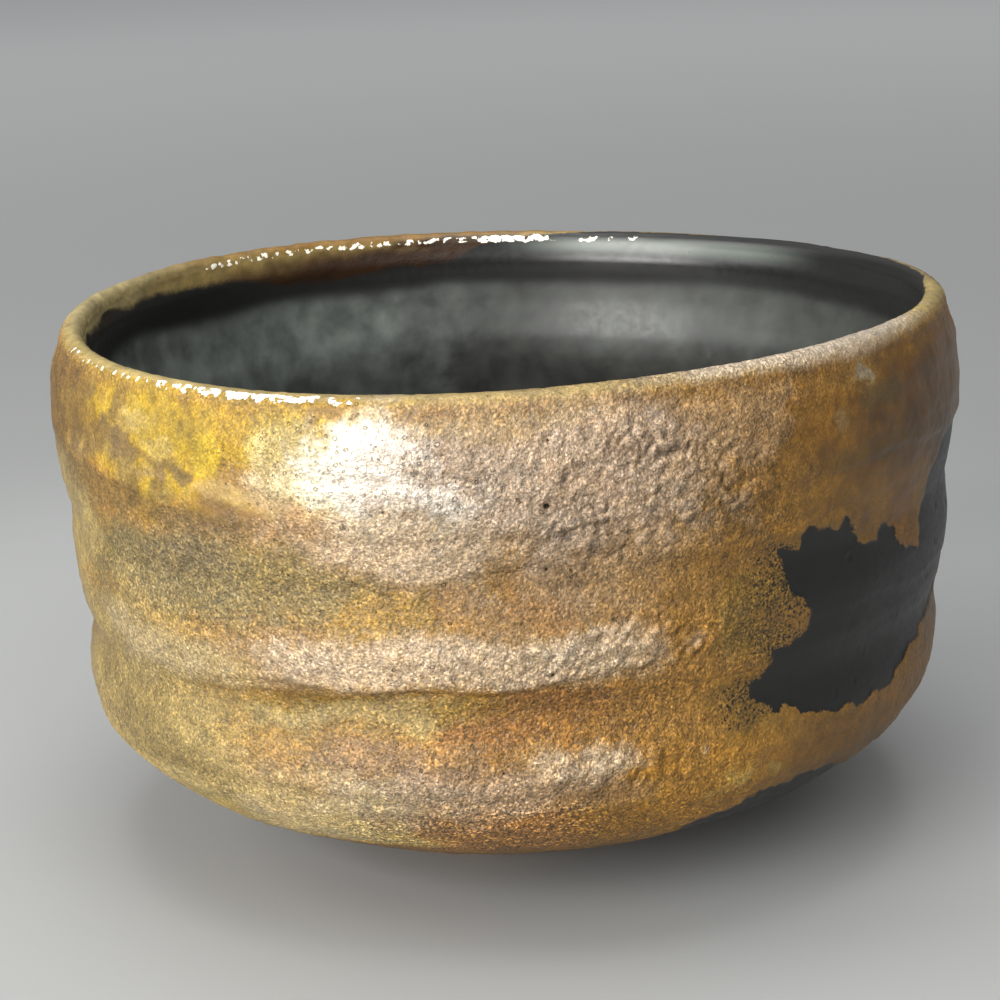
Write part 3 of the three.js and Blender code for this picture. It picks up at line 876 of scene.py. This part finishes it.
def build(name, points, counts, closed, along, front, strips, normals=None, fields=None):
    """Makes a mesh object out of a stack of rings."""
    vertex, ring, turn, sizes = corners_of(skin(counts, closed), counts)
    mesh = bpy.data.meshes.new(name)
    mesh.vertices.add(len(points))
    mesh.vertices.foreach_set("co", (points * MM).ravel())
    mesh.loops.add(len(vertex))
    mesh.loops.foreach_set("vertex_index", vertex.astype(np.int32))
    mesh.polygons.add(len(sizes))
    start = np.concatenate([[0], np.cumsum(sizes)[:-1]])
    mesh.polygons.foreach_set("loop_start", start.astype(np.int32))
    mesh.polygons.foreach_set("use_smooth", np.ones(len(sizes), bool))
    mesh.update(calc_edges=True)
    layout = mesh.uv_layers.new(name="OFBake")
    uv = bake_layout(ring, turn, sizes, along, front, strips)
    layout.data.foreach_set("uv", uv.astype(np.float32).ravel())
    for key, value in (fields or {}).items():
        kind = "FLOAT_COLOR" if value.ndim == 2 else "FLOAT"
        attribute = mesh.attributes.new(key, kind, "POINT")
        if value.ndim == 2:
            value = np.concatenate([value, np.ones((len(value), 1))], axis=1)
            attribute.data.foreach_set("color", value.astype(np.float32).ravel())
        else:
            attribute.data.foreach_set("value", value.astype(np.float32))
    if normals is None:
        normals = point_normals(points, vertex, sizes)
    mesh.normals_split_custom_set_from_vertices(normals.tolist())
    piece = bpy.data.objects.new(name, mesh)
    bpy.context.scene.collection.objects.link(piece)
    return piece


def turns(count):
    """Angles right round, closer together on the side that is photographed."""
    even = np.linspace(-math.pi, math.pi, count, endpoint=False)
    return even - 0.3 * np.cos(even) - 0.3


def thinned(count, radius):
    """Halves the number of points round a ring each time that it gets near half as wide."""
    for limit in (27, 13.5, 6.7, 3.3):
        count = count // 2 if radius < limit else count
    return count


ROUND, CLAY_ROUND, FOOT_ROUND = 1024, 512, 768  # points round a ring
FINE_REACH, FIRST_RING = 1.4, 0.7  # past the joint, and from the axis
BEAD = 0.45  # radius of the rolled edge of the glaze above the foot
BOX_ROOM = 0.03  # kept free inside the box of the CAD
theta = turns(ROUND)
around_mid = np.stack([60 * np.cos(theta), 60 * np.sin(theta), theta * 0], axis=1)


def ledge_arc(line):
    """Where the groove under a ledge runs, along the section line."""
    height = around([(a, z) for a, z, _ in line], theta) - 0.5
    return arc_at_outside(height - lip_lift(theta, height))


glaze_edge = 1.3 + 1.1 * layered(around_mid, 16, 90) + 0.3 * noise(around_mid, 4, 91)
middle_start, upper_start = ledge_arc(LEDGE_MIDDLE), ledge_arc(LEDGE_UPPER)


def rows(low, high, count):
    """Lines along the section from low to high, each right round the bowl."""
    share = np.linspace(0, 1, count)[:, None]
    return low + (high - low) * share


bead_turn = np.radians([-90, -45, 0, 45])
lower_rows = rows(glaze_edge, middle_start, 85)
middle_rows = rows(middle_start, upper_start, 68)
upper_rows = rows(upper_start, np.full(ROUND, JOINT_ARC), 76)

stack = []  # every ring of the glazed surface, from its lower edge to the middle of the floor
for phi in bead_turn:
    depth, slide = BEAD - BEAD * math.sin(phi), -BEAD * math.cos(phi)
    stack.append((theta, lower_rows[0], depth, slide))
for row in (*lower_rows, *middle_rows[1:], *upper_rows[1:]):
    stack.append((theta, row, 0.0, 0.0))
lower_end = len(bead_turn) + len(lower_rows) - 1
middle_end = lower_end + len(middle_rows) - 1
upper_end = middle_end + len(upper_rows) - 1

arc = JOINT_ARC
while True:
    arc += 0.5 if arc < JOINT_ARC + FINE_REACH else 0.6
    radius = float(np.interp(arc, LINE_ARC, LINE[:, 0]))
    if radius < FIRST_RING:
        break
    count = thinned(ROUND if arc < JOINT_ARC + FINE_REACH else ROUND // 2, radius)
    stack.append((turns(count), np.full(count, arc), 0.0, 0.0))
stack.append((np.array([0.0]), np.array([LINE_ARC[-1]]), 0.0, 0.0))

counts = [len(ring[0]) for ring in stack]
starts = np.concatenate([[0], np.cumsum(counts)])
all_theta = np.concatenate([ring[0] for ring in stack])
all_arc = np.concatenate([ring[1] for ring in stack])
all_sink = np.concatenate([np.full(len(ring[0]), ring[2]) for ring in stack])
all_slide = np.concatenate([np.full(len(ring[0]), ring[3]) for ring in stack])
points, crest, place = surface(all_theta, all_arc, all_sink, all_slide)
low, high = (np.array(corner) / MM for corner in cad_box)
points = np.clip(points, low + BOX_ROOM, high - BOX_ROOM)
vertex, _, _, sizes = corners_of(skin(counts, False), counts)
normals = point_normals(points, vertex, sizes)
tint, grain, rough, lustre, pitted, beads = paint(all_theta, crest, place)
dark = darkness(all_theta, crest, place)
black, satin, clouding = paint_black(all_theta, crest, place)
# What the glaze material reads at each point, and what stands for it on the hidden backs
FIELDS = {
    "tint": (tint, 0.1), "grain": (grain, 0.0), "rough": (rough, 0.4), "lustre": (lustre, 0.0),
    # beads marks where cream glints are painted as highlights on the beads of the lip
    "pitted": (pitted, 0.0), "beads": (beads, 0.0), "dark": (dark, 2.0), "black": (black, 0.02),
    "satin": (satin, 0.4), "clouding": (clouding, 0.0),
    "inside": (smooth(crest, 1.0, 5.0), 0.0),
}


def back_rings(first, last):
    """Rings under a piece of glaze, from its last ring to its first, and fewer of them."""
    back = []
    for i in range(last, first - 1, -1):
        doubled = back and counts[i] != len(back[-1][0])
        if i in (first, last) or doubled or i % 14 == 0:
            back.append((stack[i][0], stack[i][1]))
    return back


def coat(name, first, last, strips):
    """A closed piece of glaze: rings first to last of the stack, and a back under them."""
    back = back_rings(first, last)
    back_theta = np.concatenate([ring[0] for ring in back])
    back_arc = np.concatenate([ring[1] for ring in back])
    back_points, _, _ = surface(back_theta, back_arc, GLAZE_BACK, 0.0, 0.0)
    chosen = slice(starts[first], starts[last + 1])
    front = last + 1 - first
    both = np.concatenate([points[chosen], back_points])
    both_counts = counts[first : last + 1] + [len(ring[0]) for ring in back]
    vertex, _, _, sizes = corners_of(skin(both_counts, True), both_counts)
    both_normals = point_normals(both, vertex, sizes)
    both_normals[: len(points[chosen])] = normals[chosen]
    fields = {}
    for key, (value, hidden) in FIELDS.items():
        filler = np.full((len(back_points), *value.shape[1:]), hidden)
        fields[key] = np.concatenate([value[chosen], filler])
    along = [float(np.mean(stack[i][1])) for i in range(first, last + 1)]
    along = np.array(along + [along[-1]] * len(back))
    return build(name, both, both_counts, True, along, front, strips, both_normals, fields)


coat_lower = coat("outer_coat_lower", 0, lower_end, 3)
coat_middle = coat("outer_coat_middle", lower_end, middle_end, 4)
coat_upper = coat("outer_coat_upper", middle_end, upper_end, 4)
coat_inside = coat("inner_coat", upper_end, len(stack) - 1, 2)


# bare clay
def clay_relief(place):
    """Grit and tool tears of bare clay, in mm."""
    far, chance = cells(place, 2.6, 120)
    grit = (chance > 0.6) * np.exp(-((far / 0.45) ** 2))
    return (
        0.05 * noise(place, 3.0, 121) + 0.035 * noise(place, 1.1, 122)
        + 0.03 * noise(place, 0.7, 123) + 0.1 * grit
    )


def underside_points(theta, r):
    """The trimmed underside of the body: a spiral of turning marks inside the foot."""
    flat = np.stack([r * np.cos(theta), r * np.sin(theta), r * 0], axis=-1)
    turning = r / 1.9 + theta / (2 * math.pi) + 0.12 * noise(flat, 9, 130)
    mark = 0.11 * np.abs((turning % 1.0) * 2 - 1) + 0.02 * np.sin(turning * 9.7)
    recess = smooth(-r, -15.6, -13.0)
    button = 0.5 * np.exp(-((r / 2.2) ** 2))
    hollow = recess * (0.5 - 0.35 * smooth(r, 0, 13)) - recess * button
    band = smooth(r, 23.6, 25.0)
    turning = r / 1.25 + theta / (2 * math.pi)
    chatter = 0.05 * band * np.sin(turning * 2 * math.pi)
    rise = 0.03 + hollow + recess * mark + chatter + clay_relief(flat) * (0.4 + 0.6 * recess)
    return handle(theta, r, UNDERSIDE + np.maximum(rise, 0.0))


def clay_body():
    """The clay: its underside, the bare band above the foot, and a plain skin under the glaze."""
    rings, along = [], []
    radius = FIRST_RING
    rings.append(underside_points(np.array([0.0]), np.array([0.0])))
    along.append(0.0)
    while radius < UNDERSIDE_RADIUS:
        count = thinned(CLAY_ROUND, radius)
        theta = turns(count)
        rings.append(underside_points(theta, np.full(count, radius)))
        along.append(radius)
        radius += 0.5
    theta = turns(CLAY_ROUND)
    corner, _, _ = surface(theta, np.zeros(CLAY_ROUND), CLAY_UNDER, 0.0, 0.0)
    edge = underside_points(theta, np.full(CLAY_ROUND, UNDERSIDE_RADIUS))
    for share in np.linspace(0, 1, 22):
        ring = edge * (1 - share) + corner * share
        if share > 0:
            ring[:, 2] += clay_relief(ring) + 0.05 * np.sin(ring[:, 2] * 5 + theta)
        rings.append(ring)
        along.append(UNDERSIDE_RADIUS + share * 10)
    for arc in np.arange(0.5, 5.0, 0.5):
        ring, _, _ = surface(theta, np.full(CLAY_ROUND, arc), CLAY_UNDER, 0.0, 0.0)
        rings.append(ring + clay_relief(ring)[:, None] * (0, 0, 1))
        along.append(along[-1] + 0.5)
    front = len(rings)
    end = LINE_ARC[-1]
    hidden = [(5.5, 256), (7, 128), *((a, 128) for a in np.arange(11, CREST_ARC - 3, 4))]
    hidden += [(a, 128) for a in np.arange(CREST_ARC - 3, CREST_ARC + 3.5, 0.75)]
    hidden += [(a, 128) for a in np.arange(CREST_ARC + 5, end - 12, 4)]
    hidden += [(end - 9, 64), (end - 4, 32), (end, 1)]
    for arc, count in hidden:
        theta = turns(count) if count > 1 else np.array([0.0])
        ring, _, _ = surface(theta, np.full(count, arc), CLAY_HIDDEN, 0.0, 0.0)
        rings.append(ring)
        along.append(along[-1] + 1)
    counts = [len(ring) for ring in rings]
    return build("clay_wall", np.concatenate(rings), counts, False, np.array(along), front, 1)


def foot_line():
    """The section of the foot ring, with its corners worn round."""
    inner = FOOT_RADIUS - FOOT_WIDTH
    top = UNDERSIDE + 0.35
    line = np.array([
        (FOOT_RADIUS - 0.9, 0), (FOOT_RADIUS - 0.1, 0.8), (FOOT_RADIUS + 0.45, 3.0),
        (FOOT_RADIUS + FOOT_FLARE, top), (inner - FOOT_FLARE, top), (inner - 0.45, 3.0),
        (inner + 0.1, 0.8), (inner + 0.9, 0),
    ])
    for _ in range(3):
        following = np.roll(line, -1, axis=0)
        line = np.stack([0.75 * line + 0.25 * following, 0.25 * line + 0.75 * following], axis=1)
        line = line.reshape(-1, 2)
    closed = np.concatenate([line, line[:1]])
    arc = np.concatenate([[0], np.cumsum(np.linalg.norm(np.diff(closed, axis=0), axis=1))])
    at = np.linspace(0, arc[-1], 57)[:-1]
    r, z = np.interp(at, arc, closed[:, 0]), np.interp(at, arc, closed[:, 1])
    along = np.stack([np.roll(r, -1) - np.roll(r, 1), np.roll(z, -1) - np.roll(z, 1)], axis=1)
    along /= np.linalg.norm(along, axis=1)[:, None]
    return r, z, along[:, 1], -along[:, 0]


def foot():
    """The foot ring, turned on a lathe and worn."""
    rings = []
    theta = turns(FOOT_ROUND)
    for r, z, nr, nz in zip(*foot_line()):
        base = handle(theta, np.full(FOOT_ROUND, r), np.full(FOOT_ROUND, z))
        lathe = 0.04 * np.sin(z * 6.0 + theta) * smooth(z, 0.4, 1.2)
        proud = clay_relief(base) * 0.9 - 0.1 + lathe - 0.12 * np.maximum(0, noise(base, 6, 140))
        point = handle(theta, r + nr * proud, z + nz * proud)
        point[:, 2] = np.maximum(point[:, 2], 0.0)
        rings.append(point)
    counts = [FOOT_ROUND] * len(rings)
    along = np.arange(len(rings), dtype=float)
    return build("foot", np.concatenate(rings), counts, True, along, len(rings), 2)


clay = clay_body()
foot_piece = foot()


# materials
class Value:
    """A value in a shader, out of a node; it can be added, subtracted and multiplied."""

    def __init__(self, socket):
        self.socket = socket
        self.tree = socket.id_data

    def __add__(self, other):
        return maths("ADD", self, other)

    def __sub__(self, other):
        return maths("SUBTRACT", self, other)

    def __rsub__(self, other):
        return maths("SUBTRACT", other, self)

    def __mul__(self, other):
        return maths("MULTIPLY", self, other)

    def spread(self, low, high, out_low, out_high, smoothed=False):
        """Maps low..high of the value to out_low..out_high."""
        ends = {"From Min": low, "From Max": high, "To Min": out_low, "To Max": out_high}
        kind = "SMOOTHSTEP" if smoothed else "LINEAR"
        inputs = {"Value": self, **ends}
        return value_of(self.tree, "MapRange", inputs, "Result", interpolation_type=kind)


def connect(node, inputs):
    """Sets a node's inputs, each to a plain value or to another node's output."""
    for key, given in dict(inputs).items():
        given = given.socket if isinstance(given, Value) else given
        if isinstance(given, bpy.types.NodeSocket):
            node.id_data.links.new(given, node.inputs[key])
        else:
            node.inputs[key].default_value = given


def add(tree, kind, inputs=(), **settings):
    """A shader node with its settings and inputs."""
    made = tree.nodes.new("ShaderNode" + kind)
    for key, setting in settings.items():
        setattr(made, key, setting)
    connect(made, inputs)
    return made


def value_of(tree, kind, inputs=(), output=0, **settings):
    return Value(add(tree, kind, inputs, **settings).outputs[output])


def maths(operation, *values):
    tree = next(v.tree for v in values if isinstance(v, Value))
    return value_of(tree, "Math", dict(enumerate(values)), operation=operation)


def blend(share, one, two, kind="MIX"):
    """Mixes two colours, the first of them or the share out of a node."""
    tree = (share if isinstance(share, Value) else one).tree
    inputs = {0: share, 6: one, 7: two}
    return value_of(tree, "Mix", inputs, 2, data_type="RGBA", blend_type=kind)


def scaled(shade, amount):
    inputs = {0: shade, "Scale": amount}
    return value_of(shade.tree, "VectorMath", inputs, operation="SCALE")


def noise_at(place, size, detail=2.0, output="Fac"):
    inputs = {"Vector": place, "Scale": size, "Detail": detail}
    return value_of(place.tree, "TexNoise", inputs, output)


def cells_at(place, size):
    """Scattered cells: how far the middle of the nearest is, and its three random numbers."""
    made = add(place.tree, "TexVoronoi", {"Vector": place, "Scale": size})
    parts = add(place.tree, "SeparateColor", {"Color": made.outputs["Color"]})
    return Value(made.outputs["Distance"]), [Value(out) for out in parts.outputs]


def rgba(shade):
    return (*(float(v) for v in linear(shade)), 1.0)


def new_material(name):
    material = bpy.data.materials.new(name)
    material.use_nodes = True
    tree = material.node_tree
    place = value_of(tree, "TexCoord", output="Object")
    return material, tree, tree.nodes["Principled BSDF"], place


def pinhole_points():
    """Where the pinholes are, in metres, with their radii."""
    for angle, height, radius, _ in PINHOLES:
        theta = np.array([math.radians(angle)])
        arc = arc_at_outside(height - lip_lift(theta, height))
        point, _, _ = surface(theta, arc)
        yield tuple(float(v) * MM for v in point[0]), 0.62 * radius * MM


def glaze_material():
    """Golden ash glaze of fused grains, breaking to satin black glaze where it is bare."""
    material, tree, shader, place = new_material("fired_glaze")

    def field(name, output="Fac"):
        return value_of(tree, "Attribute", output=output, attribute_name=name)

    tint, grain, dark = field("tint", "Color"), field("grain"), field("dark")
    lustre = field("lustre")

    # light and dark grains of ash, a few of them golden specks
    fused = noise_at(place, 3000.0, 3.0)
    _, chance = cells_at(place, 3300.0)
    clumps = noise_at(place, 950.0, 4.0)
    mixed = fused.spread(0.3, 0.7, 0.5, 1.52) * chance[0].spread(0, 1, 0.76, 1.24)
    mixed = mixed * clumps.spread(0.3, 0.7, 0.78, 1.25)
    mixed = chance[1].spread(0.84, 0.88, 0, 1) * grain * 0.9 + mixed
    amount = maths("MAXIMUM", (mixed - 1.0) * grain + 1.0, 0.36)
    # burst bubbles: a dark ring round a pale middle
    wander = {0: noise_at(place, 1500.0, output="Color"), 1: (0.0005,) * 3, 2: place}
    wander = value_of(tree, "VectorMath", wander, operation="MULTIPLY_ADD")
    distance, burst = cells_at(wander, 1120.0)
    rim = maths("ABSOLUTE", distance - burst[0].spread(0, 1, 0.06, 0.3))
    rim = rim.spread(0.02, 0.1, 1, 0, True) * maths("LESS_THAN", burst[1], field("pitted"))
    amount = amount * (rim * -0.52 + 1.0)
    warm = chance[2] * (grain * 0.5) * (1.0 - lustre)
    ash = blend(warm, tint, blend(1.0, tint, WARM_GRAIN, "MULTIPLY"))
    ash = scaled(ash, amount)

    # black glaze, with grey clouds, painted sheen and painted shade inside, and a ragged edge
    mottle = noise_at(place, 220.0, 5.0).spread(0.32, 0.68, -0.36, 0.46)
    black = scaled(field("black", "Color"), mottle * field("clouding") + 1.0)
    edge = noise_at(place, 2900.0) * 0.9 + (dark - 0.45)
    edge = edge * (field("inside") * -0.82 + 1.0)
    share = edge.spread(-0.1, 0.12, 0, 1, True)
    covered = 1.0 - share
    base = blend(share, ash, black)
    # painted highlights: cream glints on the beads along the lip
    bead_glint = field("beads") * 0.34 + noise_at(place, 1000.0, 3.0)
    bead_glint = bead_glint.spread(0.78, 0.86, 0, 1, True)
    base = blend(bead_glint, base, GLINT_CREAM)
    # pinholes, each painted black inside as the shade in the hole, in an amber ring
    hole_shade, amber = 0.0, 0.0
    for middle, radius in pinhole_points():
        inputs = {0: place, 1: middle}
        off = value_of(tree, "VectorMath", inputs, "Value", operation="DISTANCE")
        hole_shade = maths("MAXIMUM", off.spread(0.8 * radius, 1.2 * radius, 1, 0, True), hole_shade)
        amber = maths("MAXIMUM", off.spread(radius, 2.0 * radius, 0.7, 0, True), amber)
    base = blend(amber, base, PINHOLE_AMBER)
    base = blend(hole_shade, base, PINHOLE_SHADE)

    ash_rough = field("rough") + chance[2].spread(0.0, 1.0, -0.1, 0.1) * grain
    black_rough = field("satin") + clumps.spread(0.3, 0.7, -0.05, 0.05)
    rough = (black_rough * share + ash_rough * covered) * (bead_glint * -0.5 + 1.0)
    metal = lustre * covered * (1.0 - hole_shade) * (rim * -0.8 + 1.0) * (1.0 - bead_glint)
    height = bead_glint * 0.8 + (rim * -0.5 + (clumps * 1.6 + fused))
    bump = {"Strength": covered * grain, "Distance": 0.00026, "Height": height}
    connect(shader, {
        "Base Color": base,
        "Roughness": rough,
        "Metallic": metal,
        "Normal": value_of(tree, "Bump", bump),
        "Specular IOR Level": 0.34,
    })
    return material


def clay_material():
    """Bare iron-bearing stoneware, with dark specks and pale grit."""
    material, tree, shader, place = new_material("bare_clay")
    shade = noise_at(place, 110.0, 5.0).spread(0.35, 0.68, 0, 1, True)
    base = blend(shade, rgba(CLAY_PALE), rgba(CLAY_BROWN))
    distance, chance = cells_at(place, 900.0)
    near = distance.spread(0.16, 0.34, 1, 0)
    base = blend(near * chance[0].spread(0.82, 0.86, 0, 1), base, rgba(IRON_SPECK))
    base = blend(near * chance[0].spread(0.16, 0.12, 0, 0.8), base, rgba(PALE_GRIT))
    fine = noise_at(place, 2400.0, 4.0)
    base = blend(fine.spread(0.35, 0.65, 0.0, 0.35), base, rgba(CLAY_SHADOW))
    bump = {"Strength": 0.6, "Distance": 0.0002, "Height": fine}
    connect(shader, {
        "Base Color": base,
        "Roughness": fine.spread(0.3, 0.7, 0.78, 0.95),
        "Normal": value_of(tree, "Bump", bump),
    })
    return material


glaze, clay_finish = glaze_material(), clay_material()
for piece, node, slot, finish in (
    (coat_lower, "outside_glaze", "ash_glaze", glaze),
    (coat_middle, "outside_glaze", "ash_glaze", glaze),
    (coat_upper, "outside_glaze", "ash_glaze", glaze),
    (coat_inside, "inside_glaze", "dark_glaze", glaze),
    (clay, "clay_body", "clay", clay_finish),
    (foot_piece, "foot_ring", "clay", clay_finish),
):
    piece.data.materials.append(finish)
    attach(piece, "root")
    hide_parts(node)


# studio
def floor():
    """A pale floor, seen through from below, and open under the hollow of the foot, its paper
    painted darker a little way out and paler far off, in place of light and shade.
    """
    mesh = bpy.data.meshes.new("studio_floor")
    hole, sides = (FOOT_RADIUS - FOOT_WIDTH / 2) * MM, 64
    ends = (hole, FLOOR_REACH)
    ring = [(r * math.cos(a), r * math.sin(a), 0.0) for r in ends for a in turns(sides)]
    following = [(i + 1) % sides for i in range(sides)]
    quads = [(i, i + sides, j + sides, j) for i, j in enumerate(following)]
    mesh.from_pydata(ring, [], quads)
    piece = bpy.data.objects.new("studio_floor", mesh)
    bpy.context.scene.collection.objects.link(piece)
    material, tree, shader, place = new_material("floor_paper")
    away = value_of(tree, "VectorMath", {0: place}, "Value", operation="LENGTH")
    # painted light and shade on the paper: darker from about 0.14 to 0.3 m out, paler from 0.3 to
    # 1.5 m
    base = blend(away.spread(0.14, 0.25, 0, 1, True), PAPER_BY_BOWL, PAPER_GREY)
    base = blend(away.spread(0.3, 1.5, 0, 1, True), base, PAPER_FAR)
    connect(shader, {"Base Color": base, "Roughness": 0.7})
    clear = add(tree, "BsdfTransparent")
    under = add(tree, "NewGeometry").outputs["Backfacing"]
    mixed = add(tree, "MixShader", {0: under, 1: shader.outputs[0], 2: clear.outputs[0]})
    connect(tree.nodes["Material Output"], {"Surface": mixed.outputs[0]})
    mesh.materials.append(material)


def area_light(name, azimuth, elevation, distance, width, height, power, shade):
    """A softbox that faces the bowl; azimuth is its direction from the bowl, in degrees."""
    data = bpy.data.lights.new(name, "AREA")
    data.shape, data.size, data.size_y = "RECTANGLE", width, height
    data.energy, data.color = power, shade
    lamp = bpy.data.objects.new(name, data)
    a, e = math.radians(azimuth), math.radians(elevation)
    away = np.array([math.cos(a) * math.cos(e), math.sin(a) * math.cos(e), math.sin(e)])
    lamp.location = away * distance + (0, 0, LAMP_AIM)
    lamp.rotation_euler = (math.pi / 2 - e, 0, math.pi / 2 + a)
    bpy.context.scene.collection.objects.link(lamp)


floor()
area_light("window", -129, 17, 1.0, 0.66, 0.62, 22.0, (1.0, 0.985, 0.95))
area_light("left_window", -174, 34, 1.0, 0.4, 0.5, 4.0, (1.0, 0.99, 0.98))
area_light("fill", -66, 46, 1.3, 0.9, 0.6, 5.0, (1.0, 0.98, 0.94))
area_light("overhead", -90, 86, 0.9, 0.5, 0.75, 6.5, (0.98, 1.0, 0.99))


def sky():
    """A soft dome: bright overhead, dim lower down, with a grey haze at the horizon."""
    world = bpy.data.worlds.new("studio")
    world.use_nodes = True
    tree = world.node_tree
    way = add(tree, "TexCoord").outputs["Generated"]
    up = value_of(tree, "SeparateXYZ", {"Vector": way}, "Z")
    above = blend(up.spread(0.12, 0.8, 0, 1, True), SKY_DIM, SKY_BRIGHT)
    above = blend(up.spread(0.03, 0.1, 0, 1, True), SKY_HAZE, above)
    whole = blend(maths("LESS_THAN", up, -0.01), above, SKY_BELOW)
    connect(tree.nodes["Background"], {0: whole})
    bpy.context.scene.world = world


sky()

camera_data = bpy.data.cameras.new("camera")
camera = bpy.data.objects.new("camera", camera_data)
bpy.context.scene.collection.objects.link(camera)
camera_data.sensor_width, camera_data.lens = 36.0, 86.4
camera.location = (-0.00143, -0.3255, 0.1361)
camera.rotation_mode = "ZYX"  # the roll is turned first
camera.rotation_euler = (math.radians(90 - CAMERA_DOWN), 0, math.radians(CAMERA_ROLL))
bpy.context.scene.camera = camera
bpy.context.scene.view_settings.view_transform = "Standard"
